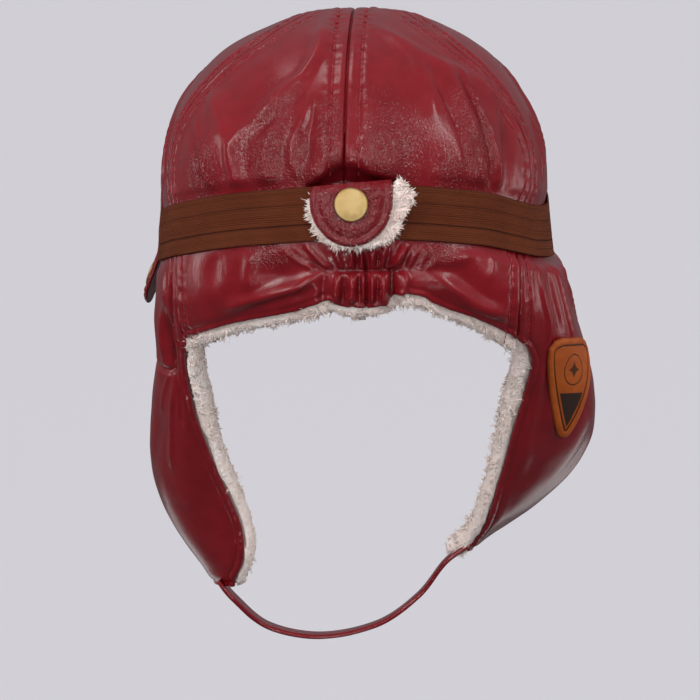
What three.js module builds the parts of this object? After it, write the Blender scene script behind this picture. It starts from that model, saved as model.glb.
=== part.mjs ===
import * as THREE from 'three';

// An aviator hat as it is worn on a head of about 57 cm, in millimetres.
// The origin is where the top of the head meets the fleece. +Z is up, +Y is the wearer's
// front and +X the wearer's right. Angles run round the hat from the centre back, which is 0,
// to the wearer's right, 90, and to the centre front, 180. They are in degrees.

// Plies, from the outside in
const LEATHER = 1.5;
const PLY_GAP = 0.5;
const FLEECE = 7;
const SEAM_GAP = 0.8;
const LINING_GAP = 1.6;
const FLEECE_SHOWS = 3;
const PAST_SEAM = 0.1;

// Strap, keepers, snaps, patch and chin strap
const STRAP_WIDTH = 24;
const STRAP_LIFT = 1;
const STRAP_THICK = 1.3;
const KEEPER_THICK = 1.8;
const KEEPER_STEP = 3.5;
const SNAP_RADIUS = 7.5;
const SNAP_HEIGHT = 2;
const SNAP_GAP = 1;
const PATCH_LIFT = 0.5;
const PATCH_THICK = 1.5;
const CHIN_STRAP_WIDTH = 20;
const CHIN_STRAP_THICK = 2;

// The hat's outer face by level: the height of each level, and how far it reaches to the left,
// right, back and front of a middle that moves forward below the ears.
const SECTIONS = [
  { z: 9, left: 0, right: 0, back: 0, front: 0, middle: 0 },
  { z: 6.6, left: 27.5, right: 26.5, back: 34, front: 34, middle: 0 },
  { z: -0.6, left: 45.5, right: 45, back: 57, front: 55, middle: 0 },
  { z: -12.4, left: 64.7, right: 63.8, back: 79, front: 76, middle: 0 },
  { z: -26.5, left: 77.8, right: 74.9, back: 95.5, front: 91, middle: 0 },
  { z: -42.8, left: 86.9, right: 83.7, back: 107, front: 102, middle: 0 },
  { z: -61, left: 91.2, right: 88.9, back: 112, front: 106, middle: 0 },
  { z: -80, left: 91.9, right: 90.2, back: 112, front: 107, middle: 0 },
  { z: -97, left: 93, right: 91.2, back: 110, front: 107, middle: 0 },
  { z: -114, left: 94, right: 98.1, back: 106, front: 106, middle: 0 },
  { z: -133, left: 94.8, right: 103.3, back: 101, front: 104, middle: 2 },
  { z: -152, left: 94.8, right: 109, back: 82, front: 100, middle: 8 },
  { z: -171, left: 98.8, right: 113.8, back: 66, front: 92, middle: 18 },
  { z: -190, left: 101.5, right: 114, back: 57, front: 80, middle: 28 },
  { z: -209, left: 102.8, right: 105.3, back: 54, front: 68, middle: 41 },
  { z: -228, left: 98, right: 86, back: 50, front: 58, middle: 51 },
  { z: -247, left: 87.5, right: 57, back: 45, front: 50, middle: 56 },
  { z: -268, left: 71.5, right: 29, back: 38, front: 42, middle: 58 },
  { z: -288, left: 54, right: 10, back: 30, front: 34, middle: 59 },
];
// Sections are a little squarer than an ellipse, whose power would be 2
const SQUARENESS = 2.2;
const TOP_LEVEL = 0.08;
const EAR_LEVEL = 9;

// The angles of the seams between the panels at each level from the top. The front seams end at
// the temples, the two at the back at the corners of the nape, and the centre one in its gathers.
const SEAMS = [
  { back_left: 36, back_right: 37, front: 146, centre: -1 },
  { back_left: 33, back_right: 35, front: 146, centre: -1 },
  { back_left: 32, back_right: 34, front: 145, centre: -1 },
  { back_left: 36, back_right: 37, front: 142, centre: -1 },
  { back_left: 45, back_right: 44, front: 137, centre: -1 },
  { back_left: 54, back_right: 50, front: 132, centre: -1 },
  { back_left: 59, back_right: 56, front: 129, centre: -1 },
  { back_left: 58, back_right: 55, front: 128, centre: -1 },
  { back_left: 56, back_right: 49.5, front: 128, centre: 1 },
  { back_left: 55, back_right: 46.5, front: 128, centre: 3.7 },
  { back_left: 55, back_right: 46.2, front: 128, centre: 4 },
  { back_left: 56.5, back_right: 49, front: 128, centre: 4 },
];

// The nape edge of the leather, from the left corner to the right one
const NAPE = [
  { angle: -56, z: -147.5 },
  { angle: -35, z: -141 },
  { angle: -15, z: -134.8 },
  { angle: 0, z: -133 },
  { angle: 11, z: -129 },
  { angle: 20, z: -130 },
  { angle: 33, z: -138 },
  { angle: 49, z: -147.5 },
];

// The brow edge, from one temple to the centre front, and the cheek edge below the temple
const BROW = [
  { angle: 128, z: -77 },
  { angle: 145, z: -70 },
  { angle: 180, z: -66 },
];
const CHEEK = [
  { z: -77, angle: 128 },
  { z: -90, angle: 121 },
  { z: -115, angle: 117 },
  { z: -148, angle: 111.5 },
];

// Each ear flap from the nape corner, 0, down to its tip, 1: the angles of its two edges
const FLAP_TOP = -148;
const FLAP_TIP = { left: -268, right: -250 };
const FLAP_EDGES = [
  { down: 0, rear_left: 55, rear_right: 49, front: 111.5 },
  { down: 0.04, rear_left: 58.5, rear_right: 54, front: 110.5 },
  { down: 0.08, rear_left: 60, rear_right: 56.2, front: 109.5 },
  { down: 0.3, rear_left: 61, rear_right: 58, front: 104.4 },
  { down: 0.4, rear_left: 59.8, rear_right: 58, front: 103.2 },
  { down: 0.5, rear_left: 57.6, rear_right: 58, front: 102 },
  { down: 0.65, rear_left: 55, rear_right: 58.2, front: 101.4 },
  { down: 0.75, rear_left: 54.5, rear_right: 59.5, front: 101 },
  { down: 0.86, rear_left: 57.5, rear_right: 63.5, front: 99 },
  { down: 0.93, rear_left: 63, rear_right: 69.5, front: 96.2 },
  { down: 0.97, rear_left: 68, rear_right: 74.5, front: 93.5 },
  { down: 1, rear_left: 74, rear_right: 79, front: 88 },
];

// The middle of the elastic strap as it runs round the hat, every 30 degrees from the left
const STRAP_ROUTE = [-46, -54, -75, -96, -97.5, -94.5, -91.5, -93, -97.5, -91.5, -70, -53];

// Main dents and puffs of the leather: where each lies, how far its long way leans from level,
// its reach along and across that way, and how far it stands out (or in, below 0)
const FOLDS = [
  { name: 'crown puff left', angle: -33, z: -62, lean: 20, along: 24, across: 14, out: 3 },
  { name: 'crown puff right', angle: 30, z: -66, lean: -20, along: 22, across: 13, out: 3 },
  { name: 'valley beside the seam', angle: -16, z: -50, lean: 80, along: 22, across: 5, out: -2 },
  { name: 'recess over the keeper', angle: 0, z: -73, lean: 0, along: 17, across: 4, out: -4 },
  { name: 'crown hollow right', angle: 44, z: -58, lean: 75, along: 24, across: 5, out: -2 },
  { name: 'nape gather', angle: 4, z: -115, lean: 0, along: 26, across: 4, out: -3 },
  { name: 'nape puff left', angle: -32, z: -122, lean: 25, along: 22, across: 9, out: 2.5 },
  { name: 'nape puff right', angle: 34, z: -120, lean: -25, along: 16, across: 8, out: 2.5 },
  { name: 'deep fold left', angle: -65, z: -142, lean: 90, along: 20, across: 5, out: -5 },
  { name: 'fold ridge left', angle: -78, z: -140, lean: 90, along: 18, across: 7, out: 2 },
  { name: 'flap crease right', angle: 84, z: -126, lean: 80, along: 15, across: 6, out: -2 },
  { name: 'flap dent left', angle: -80, z: -195, lean: 70, along: 24, across: 9, out: -2 },
  { name: 'flap dent right', angle: 84, z: -205, lean: 70, along: 20, across: 9, out: -2 },
];

const rad = THREE.MathUtils.degToRad;
const { lerp, clamp, smoothstep } = THREE.MathUtils;

// Materials

const leather = new THREE.MeshStandardMaterial({ color: 0x6b1a22, roughness: 0.32, metalness: 0 });
const fleece = new THREE.MeshStandardMaterial({ color: 0xd9d2cb, roughness: 0.95, metalness: 0 });
const elastic = new THREE.MeshStandardMaterial({ color: 0x5a3018, roughness: 0.8, metalness: 0 });
const brass = new THREE.MeshStandardMaterial({ color: 0xb8a066, roughness: 0.35, metalness: 1 });
const tan = new THREE.MeshStandardMaterial({ color: 0xa85622, roughness: 0.5, metalness: 0 });

// Tables

// A smooth curve through four neighbouring values, between the second and the third
function smooth(before, from, to, after, share) {
  const rise = (to - before) / 2;
  const leave = (after - from) / 2;
  const turn = 3 * (to - from) - 2 * rise - leave;
  const twist = 2 * (from - to) + rise + leave;
  return from + share * (rise + share * (turn + share * twist));
}

// One column of a table read at a place between its rows, straight from row to row
function read(table, key, place, column) {
  const rising = table.at(-1)[key] > table[0][key];
  const next = table.findIndex((row) => (rising ? row[key] > place : row[key] < place));
  if (next < 0) {
    return table.at(-1)[column];
  }
  if (next === 0) {
    return table[0][column];
  }
  const [from, to] = [table[next - 1], table[next]];
  return lerp(from[column], to[column], (place - from[key]) / (to[key] - from[key]));
}

// One column of a table whose rows stand at 0, 1, 2 and so on, read smoothly
function readSmooth(table, place, column) {
  const row = clamp(Math.floor(place), 0, table.length - 2);
  const value = (i) => table[clamp(i, 0, table.length - 1)][column];
  const share = Math.min(place - row, 1);
  return smooth(value(row - 1), value(row), value(row + 1), value(row + 2), share);
}

// The section at a level. Above the first row the form comes down again on the far side.
function section(level) {
  const row = clamp(Math.floor(level), 0, SECTIONS.length - 2);
  const found = {};
  for (const column of Object.keys(SECTIONS[0])) {
    const mirrored = column === 'z' || column === 'middle' ? 1 : -1;
    const before = row > 0 ? SECTIONS[row - 1][column] : mirrored * SECTIONS[1][column];
    const from = SECTIONS[row][column];
    const to = SECTIONS[row + 1][column];
    const after = row + 2 < SECTIONS.length ? SECTIONS[row + 2][column] : 2 * to - from;
    found[column] = smooth(before, from, to, after, level - row);
  }
  return found;
}

// The level that lies at a height
function levelAt(z) {
  let high = 0;
  let low = SECTIONS.length - 1;
  while (low - high > 1e-6) {
    const middle = (high + low) / 2;
    if (section(middle).z > z) {
      high = middle;
    } else {
      low = middle;
    }
  }
  return high;
}

// The outer face

function strapHeight(angle) {
  const step = 360 / STRAP_ROUTE.length;
  const turn = (((angle + 180) % 360) + 360) % 360;
  const row = Math.floor(turn / step);
  const height = (i) => STRAP_ROUTE[(i + STRAP_ROUTE.length) % STRAP_ROUTE.length];
  const share = turn / step - row;
  return smooth(height(row - 1), height(row), height(row + 1), height(row + 2), share);
}

// How far a section reaches from its middle at an angle
function reach(at, angle) {
  const sine = Math.sin(rad(angle));
  const cosine = Math.cos(rad(angle));
  const across = Math.abs(sine) / (sine > 0 ? at.right : at.left);
  const along = Math.abs(cosine) / (cosine > 0 ? at.back : at.front);
  return (across ** SQUARENESS + along ** SQUARENESS) ** (-1 / SQUARENESS);
}

// All folds together at a place. The strap holds the leather flat beneath it.
function foldsAt(angle, z, radius) {
  let out = 0;
  for (const fold of FOLDS) {
    const sideways = rad(angle - fold.angle) * radius;
    const up = z - fold.z;
    const lean = rad(fold.lean);
    const along = (sideways * Math.cos(lean) + up * Math.sin(lean)) / fold.along;
    const across = (up * Math.cos(lean) - sideways * Math.sin(lean)) / fold.across;
    out += fold.out * Math.exp(-(along ** 2) - across ** 2);
  }
  const fromStrap = Math.abs(z - strapHeight(angle));
  return out * smoothstep(fromStrap, STRAP_WIDTH / 2 + 1, STRAP_WIDTH / 2 + 9);
}

// A place on the outer face, with its folds or without
function face(angle, level, folded = true) {
  const at = section(level);
  const radius = reach(at, angle);
  const out = radius + (folded ? foldsAt(angle, at.z, radius) : 0);
  return new THREE.Vector3(
    out * Math.sin(rad(angle)),
    at.middle - out * Math.cos(rad(angle)),
    at.z,
  );
}

// A place under the outer face by a depth, or above it where the depth is below 0
function under(angle, level, depth, folded = true) {
  const place = face(angle, level, folded);
  const round = face(angle + 0.5, level, folded).sub(face(angle - 0.5, level, folded));
  const down = face(angle, level + 0.02, folded).sub(face(angle, level - 0.02, folded));
  return place.addScaledVector(round.cross(down).normalize(), depth);
}

// A place above the face without its folds, some way sideways from an angle, at a height
function above(angle, sideways, z, lift) {
  const level = levelAt(z);
  const turn = THREE.MathUtils.radToDeg(sideways / reach(section(level), angle));
  return under(angle + turn, level, -lift, false);
}

// The turn that a distance along the face makes at a place
function turnFor(distance, angle, level) {
  return THREE.MathUtils.radToDeg(distance / reach(section(level), angle));
}

// Solids

// A closed solid between two faces. Each is a grid of places, which place(u, v, inner) gives
// for u and v from 0 to 1. Where round is true the last column meets the first.
function wall(name, material, columns, rows, place, round = false) {
  const wide = round ? columns : columns + 1;
  const count = wide * (rows + 1);
  const points = [];
  for (const inner of [false, true]) {
    for (let j = 0; j <= rows; j += 1) {
      for (let i = 0; i < wide; i += 1) {
        points.push(...place(i / columns, j / rows, inner).toArray());
      }
    }
  }
  const at = (i, j, inner) => (inner ? count : 0) + j * wide + (i % wide);
  const faces = [];
  const quad = (a, b, c, d) => faces.push(a, b, c, a, c, d);
  for (let i = 0; i < columns; i += 1) {
    for (let j = 0; j < rows; j += 1) {
      quad(at(i, j), at(i + 1, j), at(i + 1, j + 1), at(i, j + 1));
      quad(at(i, j, true), at(i, j + 1, true), at(i + 1, j + 1, true), at(i + 1, j, true));
    }
    quad(at(i, 0), at(i, 0, true), at(i + 1, 0, true), at(i + 1, 0));
    quad(at(i, rows), at(i + 1, rows), at(i + 1, rows, true), at(i, rows, true));
  }
  for (let j = 0; j < rows && !round; j += 1) {
    quad(at(0, j), at(0, j + 1), at(0, j + 1, true), at(0, j, true));
    quad(at(columns, j), at(columns, j, true), at(columns, j + 1, true), at(columns, j + 1));
  }
  const geometry = new THREE.BufferGeometry();
  geometry.setAttribute('position', new THREE.Float32BufferAttribute(points, 3));
  geometry.setIndex(volume(points, faces) < 0 ? faces.reverse() : faces);
  geometry.computeVertexNormals();
  const mesh = new THREE.Mesh(geometry, material);
  mesh.name = name;
  return mesh;
}

// The volume within a mesh, below 0 where its faces point in
function volume(points, faces) {
  const corner = (i) => new THREE.Vector3().fromArray(points, 3 * faces[i]);
  let sum = 0;
  for (let i = 0; i < faces.length; i += 3) {
    sum += corner(i).dot(corner(i + 1).cross(corner(i + 2))) / 6;
  }
  return sum;
}

// The level of a panel's row. Its rows keep to the strap's edges: some from the top of the hat
// down to the strap, some under it, and the rest down to the open edge and a step past it.
function levelOf(panel, row, angle, margin) {
  const { crown, covered, below } = panel.rows;
  const strap = strapHeight(angle);
  const upper = levelAt(strap + STRAP_WIDTH / 2 + 1);
  const lower = levelAt(strap - STRAP_WIDTH / 2 - 1);
  const edge = panel.bottom(angle);
  if (row <= crown) {
    return lerp(TOP_LEVEL, upper, row / crown);
  }
  if (row <= crown + covered) {
    return lerp(upper, lower, (row - crown) / covered);
  }
  if (row <= crown + covered + below) {
    return lerp(lower, levelAt(edge), (row - crown - covered) / below);
  }
  return levelAt(edge - margin);
}

// One ply of a panel, from its outer depth to its inner one. With a margin it has a row and
// two columns more, which reach past the open edges.
function ply(name, material, panel, outer, inner, margin = 0) {
  const extra = margin > 0 ? 1 : 0;
  const columns = panel.columns + 2 * extra;
  const rows = panel.rows.crown + panel.rows.covered + panel.rows.below + extra;
  return wall(name, material, columns, rows, (u, v, isInner) => {
    const column = Math.round(u * columns) - extra;
    const row = Math.round(v * rows);
    const share = clamp(column / panel.columns, 0, 1) ** panel.crowded;
    let angle = lerp(panel.first(EAR_LEVEL), panel.last(EAR_LEVEL), share);
    let level = 0;
    for (let pass = 0; pass < 4; pass += 1) {
      level = levelOf(panel, row, angle, margin);
      angle = lerp(panel.first(level), panel.last(level), share);
    }
    const past = panel.past(level, margin) * (column < 0 ? -1 : Number(column > panel.columns));
    const way = Math.sign(panel.last(EAR_LEVEL) - panel.first(EAR_LEVEL));
    return under(angle + way * turnFor(past, angle, level), level, isInner ? inner : outer);
  });
}

// Panels

const sides = { left: -1, right: 1 };

function backSeam(side, level) {
  return sides[side] * readSmooth(SEAMS, level, `back_${side}`);
}

function frontSeam(side, level) {
  return sides[side] * readSmooth(SEAMS, level, 'front');
}

// The rear and front edges of a side panel with its flap
function rearEdge(side, level, gap) {
  const z = section(level).z;
  if (z > FLAP_TOP) {
    const angle = backSeam(side, level);
    return angle + sides[side] * turnFor(gap / 2, angle, level);
  }
  const down = (z - FLAP_TOP) / (FLAP_TIP[side] - FLAP_TOP);
  return sides[side] * read(FLAP_EDGES, 'down', down, `rear_${side}`);
}

function frontEdge(side, level, gap) {
  const z = section(level).z;
  if (z > CHEEK[0].z) {
    const angle = frontSeam(side, level);
    return angle - sides[side] * turnFor(gap / 2, angle, level);
  }
  const down = (z - FLAP_TOP) / (FLAP_TIP[side] - FLAP_TOP);
  const cheek = read(CHEEK, 'z', z, 'angle');
  return sides[side] * (down < 0 ? cheek : read(FLAP_EDGES, 'down', down, 'front'));
}

function sidePanel(side, gap) {
  return {
    first: (level) => rearEdge(side, level, gap),
    last: (level) => frontEdge(side, level, gap),
    bottom: () => FLAP_TIP[side],
    past: (level, margin) => {
      const below = FLAP_TOP - 3 - section(level).z;
      return lerp(PAST_SEAM, margin, smoothstep(below, 0, 8));
    },
    columns: 9,
    crowded: 1.25,
    rows: { crown: 8, covered: 2, below: 17 },
  };
}

// A panel whose two sides are seams, and whose bottom is an open edge
function crownPanel(first, last, edge, columns, rows, gap) {
  const inset = (from, way) => (level) => {
    const angle = from(level);
    return angle + way * turnFor(gap / 2, angle, level);
  };
  return {
    first: inset(first, 1),
    last: inset(last, -1),
    bottom: (angle) => read(edge, 'angle', angle, 'z'),
    past: () => PAST_SEAM,
    columns,
    crowded: 1,
    rows,
  };
}

const browBothSides = [
  ...BROW,
  ...BROW.slice(0, -1).reverse().map((row) => ({ angle: 360 - row.angle, z: row.z })),
];

const seam = {
  backLeft: (level) => backSeam('left', level),
  backRight: (level) => backSeam('right', level),
  frontLeft: (level) => 360 + frontSeam('left', level),
  frontRight: (level) => frontSeam('right', level),
  centreBack: (level) => readSmooth(SEAMS, level, 'centre'),
  centreFront: () => 180,
};

const BACK_ROWS = { crown: 8, covered: 2, below: 4 };
const FRONT_ROWS = { crown: 6, covered: 2, below: 1 };

function leatherPanels() {
  const back = (name, from, to) => ply(
    name, leather, crownPanel(from, to, NAPE, 8, BACK_ROWS, SEAM_GAP), 0, LEATHER,
  );
  const front = (name, from, to) => ply(
    name, leather, crownPanel(from, to, browBothSides, 5, FRONT_ROWS, SEAM_GAP), 0, LEATHER,
  );
  return [
    back('panel_back_left', seam.backLeft, seam.centreBack),
    back('panel_back_right', seam.centreBack, seam.backRight),
    ply('panel_side_left', leather, sidePanel('left', SEAM_GAP), 0, LEATHER),
    ply('panel_side_right', leather, sidePanel('right', SEAM_GAP), 0, LEATHER),
    front('panel_front_right', seam.frontRight, seam.centreFront),
    front('panel_front_left', seam.centreFront, seam.frontLeft),
  ];
}

// The lining is cut in the same panels. They have the leather's rows and columns, so that the
// plies lie evenly.
function linings() {
  const outer = LEATHER + PLY_GAP;
  const inner = outer + FLEECE;
  const gap = LINING_GAP;
  const lining = (name, panel) => ply(name, fleece, panel, outer, inner, FLEECE_SHOWS);
  const back = (name, from, to) => lining(name, crownPanel(from, to, NAPE, 8, BACK_ROWS, gap));
  const front = (name, from, to) => lining(
    name, crownPanel(from, to, browBothSides, 5, FRONT_ROWS, gap),
  );
  return [
    back('lining_back_left', seam.backLeft, seam.centreBack),
    back('lining_back_right', seam.centreBack, seam.backRight),
    lining('lining_side_left', sidePanel('left', gap)),
    lining('lining_side_right', sidePanel('right', gap)),
    front('lining_front_right', seam.frontRight, seam.centreFront),
    front('lining_front_left', seam.centreFront, seam.frontLeft),
  ];
}

// The strap, a flat loop over the seams

function elasticStrap() {
  return wall('elastic_strap', elastic, 60, 3, (u, v, isInner) => {
    const angle = 360 * u - 180;
    const z = strapHeight(angle) + STRAP_WIDTH * (0.5 - v);
    const lift = STRAP_LIFT + (isInner ? 0 : STRAP_THICK);
    return under(angle, levelAt(z), -lift, false);
  }, true);
}

// Keepers and patch

// A flat piece that lies over the face, by rows from its top: how far down, its half width,
// how far it leans sideways and how high it lies
function tab(name, material, angle, top, outline, thick) {
  return wall(name, material, 6, outline.length - 1, (u, v, isInner) => {
    const row = outline[Math.round(v * (outline.length - 1))];
    const sideways = row.shift + row.half * (2 * u - 1);
    return above(angle, sideways, top - row.down, row.lift + (isInner ? 0 : thick));
  });
}

// A round-ended outline: a short step down from the face, straight to where its end begins,
// then half an ellipse
function roundEnded(half, straight, end, lift, steps = 7) {
  const rows = [{ down: 0, half }];
  const pieces = Math.ceil((straight - KEEPER_STEP) / 10);
  for (let i = 0; i < pieces; i += 1) {
    rows.push({ down: lerp(KEEPER_STEP, straight, i / pieces), half });
  }
  for (let i = 0; i < steps; i += 1) {
    const turn = rad((84 * i) / (steps - 1));
    rows.push({ down: straight + end * Math.sin(turn), half: half * Math.cos(turn) });
  }
  return rows.map((row) => ({ ...row, shift: 0, lift: lift(row.down) }));
}

const KEEPER_BACK = { angle: 0.5, top: -78.5, half: 17, straight: 8, end: 20 };
const PAD = { half: 20.5, straight: 7, end: 21, shift: 2, lift: 2.8, thick: 2.6 };
const KEEPER_LEFT = { angle: -99, top: -65, half: 11.5, straight: 50.5, end: 14 };
const SNAP_BACK_Z = -88.5;
const SNAP_LEFT_Z = -115;

function keeperBackLift(down) {
  return lerp(1.2, PAD.lift + PAD.thick + 0.5, smoothstep(down, 0, KEEPER_STEP));
}

// The left keeper crosses the strap, then stands off the flap below it
function keeperLeftLift(down) {
  const overStrap = STRAP_LIFT + STRAP_THICK + 0.5;
  return lerp(0.6, overStrap, smoothstep(down, 0, KEEPER_STEP)) + 6.6 * smoothstep(down, 40, 68);
}

function keepers() {
  const back = KEEPER_BACK;
  const backRows = roundEnded(back.half, back.straight, back.end, keeperBackLift);
  const padRows = roundEnded(PAD.half, PAD.straight, PAD.end, () => PAD.lift)
    .map((row) => ({ ...row, shift: PAD.shift }));
  const left = KEEPER_LEFT;
  const leftRows = roundEnded(left.half, left.straight, left.end, keeperLeftLift);
  return [
    tab('keeper_back', leather, back.angle, back.top, backRows, KEEPER_THICK),
    tab('keeper_back_fleece', fleece, back.angle, back.top - 4, padRows, PAD.thick),
    tab('keeper_left', leather, left.angle, left.top, leftRows, KEEPER_THICK),
  ];
}

// A snap cap: a low dome with a rolled rim, turned round its axis. It sits square on its keeper,
// whose own lift is a function of the height.
function snap(name, angle, z, lift) {
  const rim = SNAP_RADIUS;
  const profile = [
    [0, 0],
    [rim - 0.8, 0],
    [rim, 0.6],
    [rim, 1.1],
    [rim - 0.6, 1.6],
    [rim - 1.6, 1.5],
    [rim / 2, SNAP_HEIGHT - 0.1],
    [0, SNAP_HEIGHT],
  ].map(([x, y]) => new THREE.Vector2(x, y));
  const mesh = new THREE.Mesh(new THREE.LatheGeometry(profile, 28), brass);
  const near = rim / 2;
  const round = above(angle, near, z, lift(z)).sub(above(angle, -near, z, lift(z)));
  const down = above(angle, 0, z - near, lift(z - near));
  down.sub(above(angle, 0, z + near, lift(z + near)));
  const out = down.cross(round).normalize();
  mesh.name = name;
  mesh.position.copy(above(angle, 0, z, lift(z))).addScaledVector(out, SNAP_GAP);
  mesh.quaternion.setFromUnitVectors(new THREE.Vector3(0, 1, 0), out);
  return mesh;
}

function snaps() {
  const { top: backTop, angle: backAngle } = KEEPER_BACK;
  const { top: leftTop, angle: leftAngle } = KEEPER_LEFT;
  return [
    snap('snap_back', backAngle, SNAP_BACK_Z, (z) => keeperBackLift(backTop - z) + KEEPER_THICK),
    snap('snap_left', leftAngle, SNAP_LEFT_Z, (z) => keeperLeftLift(leftTop - z) + KEEPER_THICK),
  ];
}

// The patch on the right flap: a triangle with round corners that points down
const PATCH = { angle: 70, top: -146 };
const PATCH_ROWS = [
  { down: 0, half: 11, shift: 0 },
  { down: 1.5, half: 16.5, shift: 0 },
  { down: 5, half: 19.3, shift: 0 },
  { down: 10, half: 18.8, shift: 0.3 },
  { down: 17, half: 16.2, shift: 0.8 },
  { down: 25, half: 12.6, shift: 1.3 },
  { down: 33, half: 8.9, shift: 1.8 },
  { down: 40, half: 5.8, shift: 2.3 },
  { down: 44.5, half: 3.6, shift: 2.6 },
  { down: 46.5, half: 1.6, shift: 2.7 },
].map((row) => ({ ...row, lift: PATCH_LIFT }));

function patch() {
  return tab('patch', tan, PATCH.angle, PATCH.top, PATCH_ROWS, PATCH_THICK);
}

// The chin strap: a flat strip sewn to one flap tip that passes under the chin to the other

function chinStrap() {
  const mid = -(LEATHER + PLY_GAP);
  const tipAngle = { left: -81, right: 83.5 };
  const tipZ = (side) => FLAP_TIP[side] - FLEECE_SHOWS - 1;
  const route = new THREE.CatmullRomCurve3([
    above(tipAngle.left, 0, tipZ('left'), mid),
    above(tipAngle.left, 0, tipZ('left') - 4, mid),
    new THREE.Vector3(-46, 60, -288),
    new THREE.Vector3(-20, 62, -293),
    new THREE.Vector3(8, 62, -287),
    new THREE.Vector3(28, 61, -273),
    above(tipAngle.right, 0, tipZ('right') - 4, mid),
    above(tipAngle.right, 0, tipZ('right'), mid),
  ]);
  const width = new THREE.Vector3(0, CHIN_STRAP_WIDTH / 2, 0);
  return wall('chin_strap', leather, 1, 22, (u, v, isInner) => {
    const place = route.getPointAt(v);
    const out = route.getTangentAt(v).cross(width).normalize();
    const half = CHIN_STRAP_THICK / 2;
    return place.addScaledVector(width, 2 * u - 1).addScaledVector(out, isInner ? -half : half);
  });
}

const hat = new THREE.Group();
hat.add(...leatherPanels());
hat.add(...linings());
hat.add(elasticStrap());
hat.add(...keepers());
hat.add(...snaps());
hat.add(patch());
hat.add(chinStrap());

export default hat;
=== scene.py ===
import math

import bpy
import numpy as np
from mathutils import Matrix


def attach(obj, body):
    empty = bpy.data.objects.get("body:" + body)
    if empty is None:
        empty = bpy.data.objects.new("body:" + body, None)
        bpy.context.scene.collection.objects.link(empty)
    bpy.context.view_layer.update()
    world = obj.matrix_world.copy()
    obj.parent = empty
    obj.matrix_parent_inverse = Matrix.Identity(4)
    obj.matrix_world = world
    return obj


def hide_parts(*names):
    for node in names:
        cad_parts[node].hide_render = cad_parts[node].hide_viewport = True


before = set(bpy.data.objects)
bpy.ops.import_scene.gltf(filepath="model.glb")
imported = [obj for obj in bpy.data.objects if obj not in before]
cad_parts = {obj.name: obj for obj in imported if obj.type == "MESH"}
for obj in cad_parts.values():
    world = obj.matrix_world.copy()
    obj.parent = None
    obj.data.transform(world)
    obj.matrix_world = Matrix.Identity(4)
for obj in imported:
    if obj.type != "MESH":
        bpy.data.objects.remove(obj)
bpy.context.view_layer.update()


# Leather crown and ear flaps
# Six panels of burgundy leathercloth, sewn edge to edge over the crown: two at the back, two at
# the sides that run on down as the ear flaps, and two at the front. Each seam is pressed open
# and stitched down on both sides, and the free edges are turned under. Sizes are in mm.

LEATHER = 1.5
WALL = LEATHER * 1.3  # the cloth with its backing and turned allowances
TOP_LEVEL = 0.03
SQUARENESS = 2.2  # 2 is an ellipse, and more is squarer
LEVEL_STEP, ANGLE_STEP = 0.02, 0.25

# The outer face by level: its height, and how far it reaches left, right, back and front of a
# middle that moves forward below the ears. Angles run from the centre back, 0, to the wearer's
# right, 90, and to the centre front, 180.
outline = {
    "z": [9, 6.6, -0.6, -12.4, -26.5, -42.8, -61, -80, -97, -114, -133, -152, -171, -190, -209,
          -228, -247, -268, -288],
    "left": [0, 27.5, 45.5, 64.7, 77.8, 86.9, 91.2, 91.9, 93, 94, 94.8, 94.8, 98.8, 101.5, 102.8,
             98, 87.5, 71.5, 54],
    "right": [0, 26.5, 45, 63.8, 74.9, 83.7, 88.9, 90.2, 91.2, 98.1, 103.3, 109, 113.8, 114,
              105.3, 86, 57, 29, 10],
    "back": [0, 34, 57, 79, 95.5, 107, 112, 112, 110, 106, 101, 82, 66, 57, 54, 50, 45, 38, 30],
    "front": [0, 34, 55, 76, 91, 102, 106, 107, 107, 106, 104, 100, 92, 80, 68, 58, 50, 42, 34],
    "middle": [0, 0, 0, 0, 0, 0, 0, 0, 0, 0, 2, 8, 18, 28, 41, 51, 56, 58, 59],
}


def through(rows, at, before=None, after=None):
    """Read rows that stand at 0, 1, 2 and so on, along a smooth curve through them"""
    first = rows[0] if before is None else before
    last = rows[-1] if after is None else after
    rows = np.array([first, *rows, last], float)
    at = np.asarray(at, float)
    row = np.clip(np.floor(at).astype(int), 0, len(rows) - 4)
    share = np.clip(at - row, 0, 1)
    p, q, r, s = (rows[row + k] for k in range(4))
    rise, leave = (r - p) / 2, (s - q) / 2
    bend = 3 * (r - q) - 2 * rise - leave
    return q + share * (rise + share * (bend + share * (2 * (q - r) + rise + leave)))


def softened(line, even):
    """Take the small corners out of a finely read column"""
    weight = np.exp(-0.5 * (np.arange(-36, 37) / 11) ** 2)
    above_top = line[36:0:-1] if even else -line[36:0:-1]
    longer = np.concatenate([above_top, line, 2 * line[-1] - line[-2:-38:-1]])
    return np.convolve(longer, weight / weight.sum(), "valid")


level_grid = np.arange(0, len(outline["z"]) - 1 + 1e-9, LEVEL_STEP)
finely = {}
for column, rows in outline.items():
    even = column in ("z", "middle")
    line = through(rows, level_grid, (1 if even else -1) * rows[1], 2 * rows[-1] - rows[-2])
    finely[column] = softened(line, even)


def reach_by_angle():
    """How far the face reaches from its middle, for each level and angle of a fine grid"""
    turn = np.radians(np.arange(0, 360, ANGLE_STEP))
    sine, cosine = np.sin(turn)[None], np.cos(turn)[None]
    width = np.where(sine > 0, finely["right"][:, None], finely["left"][:, None])
    depth = np.where(cosine > 0, finely["back"][:, None], finely["front"][:, None])
    across = np.abs(sine) / np.maximum(width, 1e-6)
    along = np.abs(cosine) / np.maximum(depth, 1e-6)
    grid = (across**SQUARENESS + along**SQUARENESS) ** (-1 / SQUARENESS)
    waves = np.fft.rfftfreq(len(turn), 1 / len(turn))
    damping = np.exp(-0.5 * (waves * np.radians(4)) ** 2)
    return np.fft.irfft(np.fft.rfft(grid, axis=1) * damping, len(turn), axis=1)


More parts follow.
